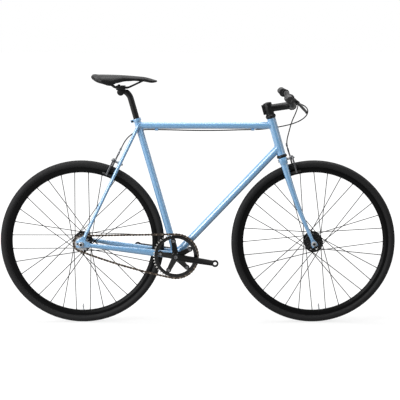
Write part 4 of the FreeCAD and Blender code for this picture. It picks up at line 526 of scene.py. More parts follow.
@dataclass(frozen=True)
class Finish:
    """One surface finish.

    Attributes:
        name: The material and how it was finished.
        colour: Its colour.
        drift: The colour that it drifts to in patches.
        roughness: The least and most roughness.
        pattern: How it was made.
        grain: The size of its fine relief, in millimetres.
        relief: The height of that relief, in millimetres.
        metallic: How far it is bare metal.
        coat: Weight of a clear coat.
        specular: How strongly the bare surface mirrors, 0.5 for most.
        coat_ior: Index of refraction of the clear coat, higher for a harder mirror.
        coat_roughness: Roughness of the clear coat.
        bare_from: Distance from the crank's axis beyond which the metal is bare, in metres, or zero.
        bare: The bare metal's colour.
    """

    name: str
    colour: str
    drift: str
    roughness: Pair
    pattern: Pattern
    grain: float
    relief: float
    metallic: float = 0.0
    coat: float = 0.0
    specular: float = 0.5
    coat_ior: float = 1.5
    coat_roughness: float = 0.08
    bare_from: float = 0.0
    bare: str = "#D6D4D0"

    def material(self) -> bpy.types.Material:
        """Builds the material once, and gives the same one afterwards."""
        return bpy.data.materials.get(self.name) or self.build()

    def build(self) -> bpy.types.Material:
        """Makes the node tree.

        Returns:
            The new material.
        """
        material = blank(bpy.data.materials.new(self.name))
        place = add_node(material, "TexCoord").outputs["Object"]
        wide = self.pattern in (Pattern.SPRAYED, Pattern.GRAINED)
        patches = self.noise(material, place, WIDE_PATCH if wide else SMALL_PATCH, *PATCH_NOISE)
        colour = self.mix(material, patches, linear(self.colour), linear(self.drift))
        metallic = self.metallic
        if self.bare_from:
            metallic = self.bare_edge(material, place)
            colour = self.mix(material, metallic, colour, linear(self.bare))
        relief = {"Strength": RELIEF_STRENGTH, "Distance": self.relief * MM}
        bump = add_node(material, "Bump", {"Height": self.fine_relief(material, place), **relief})
        shader = add_node(material, "BsdfPrincipled", {
            "Base Color": colour,
            "Roughness": ramp(material, patches, (0.0, 1.0), self.roughness),
            "Metallic": metallic,
            "Normal": bump.outputs["Normal"],
            "Coat Weight": self.coat,
            "Coat Roughness": self.coat_roughness,
            "Coat IOR": self.coat_ior,
            "Specular IOR Level": self.specular,
        })
        add_node(material, "OutputMaterial", {"Surface": shader.outputs["BSDF"]})
        return material

    def mix(self, owner: Owner, share: Socket, first: object, second: object) -> Socket:
        """Colour between two others."""
        return add_node(owner, "Mix", {0: share, 6: first, 7: second}, data_type="RGBA").outputs[2]

    def noise(self, owner: Owner, place: Socket, size: float, detail: float, roughness: float) -> Socket:
        """Soft noise from 0 to 1 in patches of a size in millimetres."""
        settings = {"Vector": place, "Scale": 1 / (size * MM), "Detail": detail, "Roughness": roughness}
        return add_node(owner, "TexNoise", settings).outputs["Fac"]

    def bare_edge(self, owner: Owner, place: Socket) -> Socket:
        """One where the metal is bare, which is far from the crank's axis, and zero elsewhere.

        Args:
            owner: The material.
            place: The coordinates.

        Returns:
            The value.
        """
        offset = add_node(owner, "VectorMath", {0: place, 1: BRACKET}, operation="SUBTRACT").outputs[0]
        flat = add_node(owner, "VectorMath", {0: offset, 1: (1, 0, 1)}, operation="MULTIPLY").outputs[0]
        reach = add_node(owner, "VectorMath", {0: flat}, operation="LENGTH").outputs["Value"]
        return calculate(owner, "GREATER_THAN", reach, self.bare_from)

    def fine_relief(self, owner: Owner, place: Socket) -> Socket:
        """Fine relief of the surface's making.

        Args:
            owner: The material.
            place: The coordinates.

        Returns:
            The height, from 0 to 1.
        """
        if self.pattern is Pattern.GRAINED:
            cells = {"Vector": place, "Scale": 1 / (self.grain * MM)}
            return add_node(owner, "TexVoronoi", cells, feature="SMOOTH_F1").outputs["Distance"]
        if self.pattern is Pattern.BRUSHED:
            place = add_node(owner, "Mapping", {"Vector": place, "Scale": BRUSH_MARKS}).outputs["Vector"]
        return self.noise(owner, place, self.grain, *RELIEF_NOISE)


# Gloss enamel over steel: a clear wet coat with the faint long ripple of spraying.
ENAMEL = Finish("gloss_enamel_on_steel", "#82B9E6", "#7CB3E1", (0.32, 0.36),
                Pattern.SPRAYED, 7.0, 0.0015, coat=1.0, specular=1.0, coat_ior=1.8)
# Black anodised aluminium: a dry dark sheen with a fine grain, a little coarser than life so that it shows.
ANODISED = Finish("black_anodised_aluminium", "#09090A", "#0D0D0E", (0.34, 0.42),
                  Pattern.ANODISED, 0.5, 0.004, specular=0.35)
# Turned and anodised rim: dead black flat tracks with only a faint soft sheen.
RIM = Finish("machined_anodised_rim", "#050506", "#080809", (0.36, 0.44),
             Pattern.ANODISED, 0.6, 0.004, specular=0.12)
# Forged and polished aluminium under black: tight bright highlights on a nearly black ground.
FORGED = Finish("polished_black_aluminium", "#070708", "#0B0B0C", (0.22, 0.28),
                Pattern.ANODISED, 0.7, 0.003, coat=0.35, specular=0.35)
# The same black on a chainring whose teeth are cut through it to the bare metal.
TOOTHED = Finish("black_ring_with_bare_teeth", "#070708", "#0B0B0C", (0.22, 0.28),
                 Pattern.ANODISED, 0.7, 0.003, coat=0.35, specular=0.35, bare_from=0.0889)
# Satin-anodised calliper forgings: a grey metal that brightens on its edges.
CALLIPER = Finish("satin_grey_calliper", "#8A8B8E", "#5C5D60", (0.28, 0.38),
                  Pattern.BRUSHED, 1.2, 0.006, metallic=1.0)
# Zinc-plated steel: pale grey and slightly mottled.
ZINC = Finish("zinc_plated_steel", "#DADCDE", "#B9BBBE", (0.26, 0.38),
              Pattern.ANODISED, 0.9, 0.006, metallic=0.55)
# Black stainless spoke wire: a dark line with hardly any shine.
SPOKE = Finish("black_spoke_wire", "#070707", "#0B0B0B", (0.40, 0.50),
               Pattern.ANODISED, 0.6, 0.002, specular=0.2)
# Blackened bolts painted a dull light grey metal all over: a painted highlight that stands in for the
# glints on them.
BOLT_PAINTED_HIGHLIGHT = Finish("black_bolt_painted_highlight_grey", "#8E8F92", "#6C6D70", (0.30, 0.42),
              Pattern.ANODISED, 0.6, 0.003, metallic=0.6)
# Black oxide steel: dark, a little oily.
OXIDE = Finish("black_oxide_steel", "#0B0B0C", "#101011", (0.32, 0.42), Pattern.ANODISED, 0.6, 0.004)
# Roller chain steel with old oil on it: brown black outer plates. The inner plates and rollers are painted
# a brighter steel, a painted highlight that stands in for the glints along the chain.
OUTER_LINK = Finish("oiled_outer_link_steel", "#6E635A", "#2E2823", (0.30, 0.45),
                    Pattern.OILED, 0.8, 0.01, metallic=0.9)
INNER_LINK_PAINTED_HIGHLIGHT = Finish("inner_link_steel_painted_highlight", "#C4B6A6", "#7A6D60", (0.28, 0.40),
                    Pattern.OILED, 0.8, 0.01, metallic=0.9)
# Vulcanised tyre rubber: dull grey black with fine pores.
TYRE = Finish("vulcanised_tyre_rubber", "#171718", "#1C1C1D", (0.60, 0.75),
              Pattern.MOULDED, 0.9, 0.03, specular=0.3)
# Moulded grip rubber: smoother than the tyre, with a soft sheen on its ribs.
GRIP = Finish("moulded_grip_rubber", "#151415", "#1B1A1B", (0.40, 0.50),
              Pattern.MOULDED, 0.7, 0.03, specular=0.6)
# Synthetic saddle cover: pebbled grain with a satin sheen.
SADDLE_COVER = Finish("pebbled_saddle_cover", "#0B0B0C", "#0F0F10", (0.40, 0.46),
                      Pattern.GRAINED, 1.1, 0.012, specular=0.3)
# Cable housing: smooth extruded plastic.
HOUSING = Finish("extruded_cable_housing", "#0E0E0F", "#141415", (0.36, 0.44), Pattern.MOULDED, 0.8, 0.004)


def dress(piece: Piece, finish: Finish) -> Piece:
    """Gives an object one finish all over.

    Args:
        piece: The object.
        finish: The finish.

    Returns:
        The same object.
    """
    piece.data.materials.clear()
    piece.data.materials.append(finish.material())
    return piece


def fit(piece: Piece, body: str, slot: str, *nodes: str) -> None:
    """Rides a finished piece on its body in place of CAD nodes.

    Args:
        piece: The object.
        body: The CAD body that carries it.
        slot: The record's material slot; not used.
        nodes: The CAD nodes that it stands for.
    """
    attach(piece, body)
    if nodes:
        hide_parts(*nodes)
    log.info("%s rides on %s", piece.name, body)


@dataclass(frozen=True)
class Rounded:
    """A CAD node that is shown with rounded edges.

    Attributes:
        node: The node's name.
        edge: Width of the rounding, in metres.
        finish: Its finish.
        body: The CAD body that carries it.
        slot: The record's material slot.
    """

    node: str
    edge: float
    finish: Finish
    body: str
    slot: str

    def build(self) -> None:
        """Puts the rounded copy in the node's place."""
        fit(dress(eased(node_copy(self.node), self.edge), self.finish), self.body, self.slot, self.node)


# Sub-assemblies: sizes are in metres, angles in degrees, and a profile is pairs of radius and height


@dataclass
class Frame:
    """Steel frame and fork, as the CAD has them, with brazed joints."""

    top_tube_height: float = 0.831
    down_tube_lift: float = 0.033  # of the down tube's end over the head tube's foot
    head_radius: float = 0.018
    main_radius: float = 0.0143  # of the top tube and the seat tube
    down_radius: float = 0.0159
    shell_radius: float = 0.020
    bead_radius: float = 0.0022
    bead_points: int = 32

    PAINTED = ("head_tube", "top_tube", "down_tube", "seat_tube", "bottom_bracket_shell", "chainstays",
               "seatstays", "stay_bridges", "fork_blades", "cable_guides")
    ROUNDED = (Rounded("rear_dropouts", 0.0009, ENAMEL, "frame", "frame_paint"),
               Rounded("fork_crown", 0.0022, ENAMEL, "steering", "frame_paint"))

    def build(self) -> None:
        """Dresses the tubes, rounds the forgings and adds the joints."""
        for node in self.PAINTED:
            dress(frame["nodes"][node], ENAMEL)
        for part in self.ROUNDED:
            part.build()
        self.build_joints()

    def build_joints(self) -> None:
        """Brazed beads where the main tubes meet."""
        foot = Vector(JOINTS["steering_turn"]["pos_m"])
        steer_up = Vector(JOINTS["steering_turn"]["axis"])
        head = (foot, steer_up, self.head_radius)
        seat = (BRACKET, SEAT_UP, self.main_radius)
        shell = (BRACKET, LEFT, self.shell_radius)
        down_head = foot + steer_up * self.down_tube_lift
        down = (down_head - BRACKET).normalized()
        beads = [
            self.bead_curve(self.reach_height(foot, steer_up), -AHEAD, self.main_radius, *head),
            self.bead_curve(self.reach_height(BRACKET, SEAT_UP), AHEAD, self.main_radius, *seat),
            self.bead_curve(down_head, -down, self.down_radius, *head),
            self.bead_curve(BRACKET, down, self.down_radius, *shell),
            self.bead_curve(BRACKET, SEAT_UP, self.main_radius, *shell),
        ]
        piece = smooth(join("brazed_joints", beads), angle=60.0)
        fit(dress(piece, ENAMEL), "frame", "frame_paint")

    def reach_height(self, start: Vector, way: Vector) -> Vector:
        """Where a line from a point in a direction reaches the top tube's height."""
        return start + way * ((self.top_tube_height - start.z) / way.z)

    def bead_curve(self, start: Vector, way: Vector, radius: float,
                   other: Vector, axis: Vector, other_radius: float) -> Piece:
        """Bead along the line where one round tube meets another.

        Args:
            start: Where the first tube's middle line meets the second's.
            way: The first tube's direction, away from the joint.
            radius: The first tube's radius.
            other: A point on the second tube's middle line.
            axis: The second tube's direction.
            other_radius: The second tube's radius.

        Returns:
            The bead as a mesh.
        """
        side = way.cross(axis).normalized()
        rise = side.cross(way).normalized()
        axis = axis.normalized()
        flat_way = way - axis * way.dot(axis)
        square = flat_way.length_squared
        points = []
        for step in range(self.bead_points):
            turn = 2 * math.pi * step / self.bead_points
            foot = start + (side * math.cos(turn) + rise * math.sin(turn)) * radius
            gap = foot - other
            flat = gap - axis * gap.dot(axis)
            half = flat.dot(flat_way)
            root = max(half * half - square * (flat.length_squared - other_radius ** 2), 0.0)
            points.append(foot + way * ((math.sqrt(root) - half) / square))
        activate(curve_through("ring", points, self.bead_radius, closed=True))
        bpy.ops.object.convert(target="MESH")
        return bpy.context.object


@dataclass
class Wheel:
    """One wheel: tyre, valve, rim, spokes with their nipples, and hub."""

    end: str
    valve_turn: float  # from forwards towards the ground
    steps: int = 180  # round the tyre and the rim
    tyre_radius: float = 0.343
    tyre_width: float = 0.031
    bead: Profile = ((-0.0008, 0.0088), (0.0012, 0.0094))  # height over the rim's edge and half width
    casing: Pair = (-52.0, 232.0)  # angles at which its round begins and ends
    casing_steps: int = 30
    tread: Pair = (46.0, 0.00035)  # half its angle, and how much lower it lies
    groove: Triple = (50.0, 4.0, 0.0007)  # angle from the tread's middle, half its angle, and depth
    rim_radius: float = 0.314  # under the tyre
    rim_depth: float = 0.022
    rim_width: float = 0.020
    track: float = 0.011  # height of a brake track
    nose_width: float = 0.008  # of the rim's inner edge
    flange_half: float = 0.033  # half the distance between the flanges
    flange_thickness: float = 0.0036
    hub_edge: float = 0.0006
    spoke_circle: float = 0.035  # radius of the holes in a flange
    spoke_radius: float = 0.0016
    spoke_sides: int = 8
    splay: float = 0.001  # of a spoke's tip from the middle plane
    elbow: Pair = (0.0006, 0.0012)  # how far it goes in and down
    head: Pair = (0.0012, 0.0002)  # how far it stands out of its flange, and drops
    head_size: Triple = (1.2, 1.8, 1.2)  # beside the wire
    per_flange: int = 16  # spokes
    crossings: int = 3  # spoke pitches between a spoke's two ends
    nipple_radius: float = 0.0021
    nipple_length: float = 0.0115
    nipple_tip: float = 0.74  # as a share of its other end
    valve_pitch: float = 1.75  # spoke pitches from a spoke hole to the valve
    valve_foot: Profile = ((0.0, -0.004), (0.003, -0.004), (0.003, 0.0), (0.0047, 0.0002), (0.0047, 0.0022))
    valve_thread: Triple = (0.0026, 0.012, 0.0008)  # where it begins and ends, and its pitch
    valve_rib: Profile = ((0.0027, 0.0), (0.003, 0.0004))
    valve_head: Profile = ((0.0027, 0.0128), (0.0034, 0.0134), (0.0034, 0.02), (0.0021, 0.0235),
                           (0.0014, 0.0275), (0.0, 0.028))

    @property
    def body(self) -> str:
        """The CAD body that turns."""
        return self.end + "_wheel"

    @property
    def place(self) -> Matrix:
        """Placing with Z along the axle and X forwards."""
        return frame_of(Vector(JOINTS[self.end + "_wheel_spin"]["pos_m"]), LEFT, AHEAD)

    def build(self) -> None:
        """Makes the wheel's pieces."""
        self.build_tyre()
        self.build_valve()
        self.build_rim()
        self.build_spokes()
        Rounded(self.end + "_hub", self.hub_edge, FORGED, self.body, "black_alloy").build()

    def build_tyre(self) -> None:
        """Round casing with a low tread, a groove on each side of it and a bead line at the rim."""
        half = self.tyre_width / 2
        bead = [(self.rim_radius + rise, reach) for rise, reach in self.bead]
        profile = [(radius, -height) for radius, height in bead]
        first, last = self.casing
        for step in range(self.casing_steps + 1):
            angle = first + (last - first) * step / self.casing_steps
            aside = abs(angle - (first + last) / 2)
            radius = half
            if aside < self.tread[0]:
                radius = half - self.tread[1]
            if abs(aside - self.groove[0]) < self.groove[1]:
                radius = half - self.groove[2]
            turn = math.radians(angle)
            profile.append((self.tyre_radius - half + radius * math.sin(turn), -radius * math.cos(turn)))
        profile += reversed(bead)
        tyre = placed(turned(self.end + "_tyre_casing", profile, self.steps), self.place)
        fit(dress(smooth(tyre, angle=60.0), TYRE), self.body, "tyre_rubber", self.end + "_tyre")

    def build_valve(self) -> None:
        """Threaded valve stem with its ring and cap, pointing at the hub."""
        profile = [*self.valve_foot, *ribs(*self.valve_thread, self.valve_rib), *self.valve_head]
        outward = around(1.0, math.radians(self.valve_turn))
        place = frame_of(outward * (self.rim_radius - self.rim_depth), -outward, UP)
        stem = placed(turned(self.end + "_valve_stem", profile, steps=20), self.place @ place)
        fit(dress(smooth(stem, angle=30.0), ZINC), self.body, "tyre_rubber")

    def build_rim(self) -> None:
        """Rim with hooked edges, flat brake tracks and a rounded nose."""
        half = self.rim_width / 2
        nose_half = self.nose_width / 2
        top = self.rim_radius
        low = top - self.track
        nose = top - self.rim_depth
        # Small roundings at the corners of the section's hook, track and nose.
        one_side = [
            (top - 0.0030, half - 0.0024), (top - 0.0003, half - 0.0020), (top, half - 0.0009),
            (top - 0.0008, half), (low + 0.0008, half), (low, half - 0.0003),
            (low - 0.0030, half - 0.0022), (nose + 0.0030, nose_half + 0.0010),
            (nose + 0.0007, nose_half - 0.0012), (nose, nose_half - 0.0026),
        ]
        profile = one_side + [(radius, -height) for radius, height in reversed(one_side)]
        rim = placed(turned(self.end + "_rim_hoop", profile, self.steps), self.place)
        fit(dress(smooth(rim, angle=30.0), RIM), self.body, "black_alloy", self.end + "_rim")

    def build_spokes(self) -> None:
        """Crossed spokes with their heads at the flanges and nipples at the rim."""
        spokes = []
        nipples = []
        step = 2 * math.pi / self.per_flange
        first = math.radians(self.valve_turn) - self.valve_pitch * step
        face = self.flange_thickness / 2 + self.spoke_radius
        for side in (-1, 1):
            for index in range(self.per_flange):
                hand = 1 if index % 2 else -1
                turn = first + index * step + (step / 2 if side > 0 else 0.0)
                root = around(self.spoke_circle, turn, side * self.flange_half + hand * face)
                tip_turn = turn - hand * self.crossings * step
                tip = around(self.rim_radius - self.rim_depth, tip_turn, side * self.splay)
                spokes.append(self.spoke(root, tip, -hand))
                nipples.append(frame_of(tip, root - tip, UP))
        wires = placed(join(self.end + "_spoke_wires", spokes), self.place)
        fit(dress(smooth(wires, angle=50.0), SPOKE), self.body, "black_steel", self.end + "_spokes")
        heads = placed(repeat(self.end + "_spoke_nipples", self.nipple(), nipples), self.place)
        fit(dress(smooth(heads, angle=40.0), OXIDE), self.body, "black_steel")

    def spoke(self, root: Vector, tip: Vector, inward: int) -> Piece:
        """One round spoke with an elbow through its flange.

        Args:
            root: Where it leaves the flange's face.
            tip: Where it meets the rim.
            inward: Direction of the elbow along the axle.

        Returns:
            The spoke.
        """
        wire = cylinder("spoke", self.spoke_radius, (tip - root).length, self.spoke_sides)
        with editing(wire):
            select_parts(wire, "VERT", lambda point: point.co.z < TOUCH)
            draw_out((self.elbow[0], 0, -self.elbow[1]))
            draw_out((self.flange_thickness + self.head[0], 0, -self.head[1]))
            bpy.ops.transform.resize(value=self.head_size, center_override=(self.flange_thickness, 0, 0))
        return placed(wire, frame_of(root, tip - root, Vector((0, 0, inward))))

    def nipple(self) -> Piece:
        """Tapered nipple, along Z from the rim towards the hub.

        Returns:
            The nipple.
        """
        piece = cylinder("nipple", self.nipple_radius, self.nipple_length, self.spoke_sides)
        with editing(piece):
            select_parts(piece, "VERT", lambda point: point.co.z > self.nipple_length / 2)
            bpy.ops.transform.resize(value=(self.nipple_tip, self.nipple_tip, 1.0))
        return piece


@dataclass
class Drive:
    """Chain, sprockets and cranks."""

    pitch: float = 0.0127
    links: int = 94
    ring_teeth: int = 46
    cog_teeth: int = 16
    sag: float = 0.008  # of the lower run
    line: float = 0.045  # distance of the chain from the middle plane
    inner_width: float = 0.0033  # between the inner plates
    plate: float = 0.0011  # thickness
    plate_radius: float = 0.0042
    plate_gap: float = 0.00005  # between inner and outer plates
    plate_split: float = 0.0003  # points beyond it make a plate's other end
    inner_waist: float = 0.72  # height as a share of the plate's
    outer_waist: float = 0.66
    roller_radius: float = 0.00385
    pin_radius: float = 0.0018
    rivet: float = 0.00055  # how far a pin stands out
    rivet_tip: float = 0.7  # as a share of the pin
    tries: int = 4  # corrections of the step from one roller to the next
    bolt_edge: float = 0.0003
    axle: Point = tuple(JOINTS["rear_wheel_spin"]["pos_m"])

    ROUNDED = (Rounded("chainring", 0.00035, TOOTHED, "crankset", "black_alloy"),
               Rounded("right_crank", 0.0016, FORGED, "crankset", "black_alloy"),
               Rounded("left_crank", 0.0016, FORGED, "crankset", "black_alloy"),
               Rounded("rear_cog", 0.00035, ZINC, "rear_wheel", "bright_steel"),
               Rounded("cog_lockring", 0.0004, ZINC, "rear_wheel", "black_steel"))
    # Node, width of the rim round each key socket and the socket's depth.
    SOCKETS = (("chainring_bolts", 0.0022, 0.0015), ("crank_bolts", 0.003, 0.003))

    def build(self) -> None:
        """Makes the chain and finishes the sprockets, cranks and bolts."""
        self.build_chain()
        for part in self.ROUNDED:
            part.build()
        for node, rim, depth in self.SOCKETS:
            piece = node_copy(node)
            for way in (-LEFT, LEFT):
                sink_sockets(piece, way, rim, depth)
            # The bolts' light grey is a painted highlight.
            fit(dress(eased(piece, self.bolt_edge), BOLT_PAINTED_HIGHLIGHT), "crankset", "black_steel", node)
        dress(frame["nodes"]["crank_spindle"], ZINC)
        dress(frame["nodes"]["bottom_bracket_cups"], OXIDE)

    def radius(self, teeth: int) -> float:
        """Pitch radius of a sprocket."""
        return self.pitch / (2 * math.sin(math.pi / teeth))

    def loop(self, centres: float) -> list[tuple[float, float, float, float, float]]:
        """Pieces of the chain's loop: upper run, ring, lower run and cog.

        Args:
            centres: Distance between the ring's middle, which is the origin, and the cog's, at minus X.

        Returns:
            Start or middle along X and upwards, radius, first angle and length of each. The upper run has
            an infinite radius, and its angle is its heading.
        """
        ring = self.radius(self.ring_teeth)
        cog = self.radius(self.cog_teeth)
        sag = centres ** 2 / (8 * self.sag)
        lean = math.acos((cog - ring) / centres)
        run = math.sqrt(centres ** 2 - (ring - cog) ** 2)
        sag_x = ((sag - cog) ** 2 - (sag - ring) ** 2 - centres ** 2) / (2 * centres)
        sag_z = math.sqrt((sag - ring) ** 2 - sag_x ** 2)
        leave = math.atan2(-sag_z, -sag_x)
        meet = math.atan2(-sag_z, -centres - sag_x)
        return [
            (-centres + cog * math.cos(lean), cog * math.sin(lean), math.inf, lean - math.pi / 2, run),
            (0.0, 0.0, ring, lean, ring * (lean - leave)),
            (sag_x, sag_z, sag, leave, sag * (leave - meet)),
            (-centres, 0.0, cog, meet, cog * (meet - lean + 2 * math.pi)),
        ]

    def along(self, loop: list[tuple[float, float, float, float, float]], distance: float) -> Vector:
        """Place on the loop after a distance.

        Args:
            loop: The loop's pieces.
            distance: Distance from the start of the upper run.

        Returns:
            The place in the loop's own plane.
        """
        for x, z, radius, angle, length in [*loop, loop[0]]:
            if distance <= length:
                break
            distance -= length
        if math.isinf(radius):
            return Vector((x + distance * math.cos(angle), z + distance * math.sin(angle)))
        turn = angle - distance / radius
        return Vector((x + radius * math.cos(turn), z + radius * math.sin(turn)))

    def rollers(self) -> list[Vector]:
        """Places of all rollers, one pitch apart.

        Returns:
            The places in the bicycle's frame.
        """
        between = BRACKET - Vector(self.axle)
        loop = self.loop(between.length)
        ahead = between.normalized()
        up = ahead.cross(LEFT).normalized()
        distance = 0.0
        flat = [self.along(loop, distance)]
        for _ in range(self.links - 1):
            step = self.pitch
            for _ in range(self.tries):
                step += self.pitch - (self.along(loop, distance + step) - flat[-1]).length
            distance += step
            flat.append(self.along(loop, distance))
        middle = BRACKET - LEFT * self.line
        return [middle + ahead * place.x + up * place.y for place in flat]

    def build_chain(self) -> None:
        """Waisted inner and outer plates, rollers and riveted pins, each modelled once and copied."""
        rollers = self.rollers()
        half = self.inner_width / 2
        pin_half = half + 2 * self.plate + self.rivet
        inner, outer, pins, barrels = [], [], [], []
        for index, start in enumerate(rollers):
            way = rollers[(index + 1) % len(rollers)] - start
            near = half + (self.plate + self.plate_gap if index % 2 else 0.0)
            for offset in (-near - self.plate, near):
                (outer if index % 2 else inner).append(frame_of(start + LEFT * offset, LEFT, way))
            pins.append(frame_of(start - LEFT * pin_half, LEFT, way))
            barrels.append(frame_of(start - LEFT * half, LEFT, way))
        roller = cylinder("roller", self.roller_radius, self.inner_width, sides=12)
        # The inner links' brighter colour is a painted highlight.
        self.build_links("inner", INNER_LINK_PAINTED_HIGHLIGHT, [
            repeat("inner_plates", self.link_plate(self.inner_waist), inner),
            repeat("chain_rollers", roller, barrels),
        ])
        self.build_links("outer", OUTER_LINK, [
            repeat("outer_plates", self.link_plate(self.outer_waist), outer),
            repeat("chain_pins", self.pin(2 * pin_half), pins),
        ])

    def build_links(self, kind: str, finish: Finish, pieces: Sequence[Piece]) -> None:
        """Joins the inner or the outer links of the chain into one piece."""
        piece = smooth(join(f"chain_{kind}_run", pieces), angle=40.0)
        fit(dress(piece, finish), "frame", "chain_steel", f"chain_{kind}_links")

    def link_plate(self, waist: float) -> Piece:
        """Figure-eight side plate that stands on the origin, along X.

        Args:
            waist: Height of the waist as a share of the plate's height.

        Returns:
            The plate.
        """
        plate = cylinder("link_plate", self.plate_radius, self.plate, sides=14)
        middle = (self.pitch / 2, 0, 0)
        with editing(plate):
            select_parts(plate, "VERT", lambda point: point.co.x > self.plate_split)
            bpy.ops.transform.translate(value=(self.pitch, 0, 0))
            bpy.ops.mesh.select_all(action="SELECT")
            bpy.ops.mesh.bisect(plane_co=middle, plane_no=(1, 0, 0))
            bpy.ops.transform.resize(value=(1.0, waist, 1.0), center_override=middle)
        return plate

    def pin(self, length: float) -> Piece:
        """Pin with a small rivet head at each end, along Z.

        Args:
            length: Its length.

        Returns:
            The pin.
        """
        pin = cylinder("pin", self.pin_radius, length, sides=8)
        with editing(pin):
            for height in (0.0, length):
                select_parts(pin, "VERT", lambda point: abs(point.co.z - height) < TOUCH)
                bpy.ops.transform.resize(value=(self.rivet_tip, self.rivet_tip, 1.0),
                                         center_override=(0, 0, height))
        return pin


@dataclass
class Cockpit:
    """Stem, bar, grips, levers and headset."""

    grip_flange: Profile = ((0.0111, 0.0), (0.0180, 0.0), (0.0180, 0.0042), (0.0160, 0.0052))
    ribs_from: float = 0.0075
    ribs_to: float = 0.010  # before the outer end
    rib_pitch: float = 0.0042
    grip_rib: Profile = ((0.0147, 0.0), (0.0155, 0.0009), (0.0155, 0.0024), (0.0147, 0.0033))
    grip_end: Profile = ((0.0158, -0.006), (0.0158, -0.0016), (0.0141, 0.0), (0.0065, 0.0),
                         (0.0050, -0.0012), (0.0, -0.0012))
    end_points: int = 12  # at least, that give the middle of a CAD grip's end
    end_share: int = 6  # one in so many of its points gives it, where there are more

    ROUNDED = (Rounded("stem", 0.0011, ANODISED, "steering", "black_alloy"),
               Rounded("stem_face_plate", 0.0008, ANODISED, "steering", "black_alloy"),
               Rounded("stem_bolts", 0.0005, OXIDE, "steering", "black_steel"),
               Rounded("stem_top_cap", 0.0006, ANODISED, "steering", "black_alloy"),
               Rounded("headset_covers", 0.0006, ANODISED, "steering", "black_alloy"),
               Rounded("lever_brackets", 0.0008, ANODISED, "steering", "black_alloy"),
               Rounded("headset_cups", 0.0006, ANODISED, "frame", "black_alloy"),
               Rounded("left_lever", 0.0009, ANODISED, "left_brake_lever", "black_alloy"),
               Rounded("right_lever", 0.0009, ANODISED, "right_brake_lever", "black_alloy"))

    def build(self) -> None:
        """Finishes the CAD pieces and makes the ribbed grips."""
        for part in self.ROUNDED:
            part.build()
        dress(frame["nodes"]["handlebar"], ANODISED)
        self.build_grips()

    def build_grips(self) -> None:
        """Ribbed grips with a flange at the inner end and a closed outer end."""
        piece = join("ribbed_grips", [self.grip(part) for part in loose_parts(node_copy("grips"))])
        fit(dress(smooth(piece, angle=35.0), GRIP), "steering", "grip_rubber", "grips")

    def grip(self, solid: Piece) -> Piece:
        """One ribbed grip that takes its place and lean from the CAD's solid.

        Args:
            solid: The CAD's solid, which is used up.

        Returns:
            The grip.
        """
        points = [vertex.co for vertex in solid.data.vertices]
        ordered = sorted(points, key=lambda place: abs(place.y))
        count = max(self.end_points, len(ordered) // self.end_share)
        inner = sum(ordered[:count], Vector()) / count
        outer = sum(ordered[-count:], Vector()) / count
        way = (outer - inner).normalized()
        reach = [point.dot(way) for point in points]
        start = inner + way * (min(reach) - inner.dot(way))
        length = max(reach) - min(reach)
        bpy.data.objects.remove(solid)
        profile = [
            *self.grip_flange,
            *ribs(self.ribs_from, length - self.ribs_to, self.rib_pitch, self.grip_rib),
            *((radius, length + height) for radius, height in self.grip_end),
            (0.0, 0.0),
        ]
        return placed(turned("grip", profile, steps=40), frame_of(start, way, AHEAD))


@dataclass
class Brakes:
    """Callipers."""

    arm_edge: float = 0.0011
    pad_edge: float = 0.0012
    bolt_edge: float = 0.0005
    pad_faces: int = 8  # a solid with no more is a pad

    def build(self) -> None:
        """Finishes the arms, the pads and the bolts that carry them."""
        for end, parent in (("front", "steering"), ("rear", "frame")):
            for side in ("left", "right"):
                self.build_arm(f"{end}_brake_{side}_arm", f"{end}_{side}_arm")
            Rounded(end + "_brake_bolt", self.bolt_edge, ZINC, parent, "bright_steel").build()

    def build_arm(self, node: str, body: str) -> None:
        """Grey arm with its black pad.

        Args:
            node: The CAD node.
            body: Its body.
        """
        arms = []
        pads = []
        for part in loose_parts(node_copy(node)):
            is_pad = len(part.data.polygons) <= self.pad_faces
            (pads if is_pad else arms).append(part)
        arm = dress(eased(join(node + "_finished", arms), self.arm_edge), CALLIPER)
        pad = dress(eased(join(node + "_pad", pads), self.pad_edge), GRIP)
        fit(arm, body, "silver_alloy", node)
        fit(pad, body, "grip_rubber")


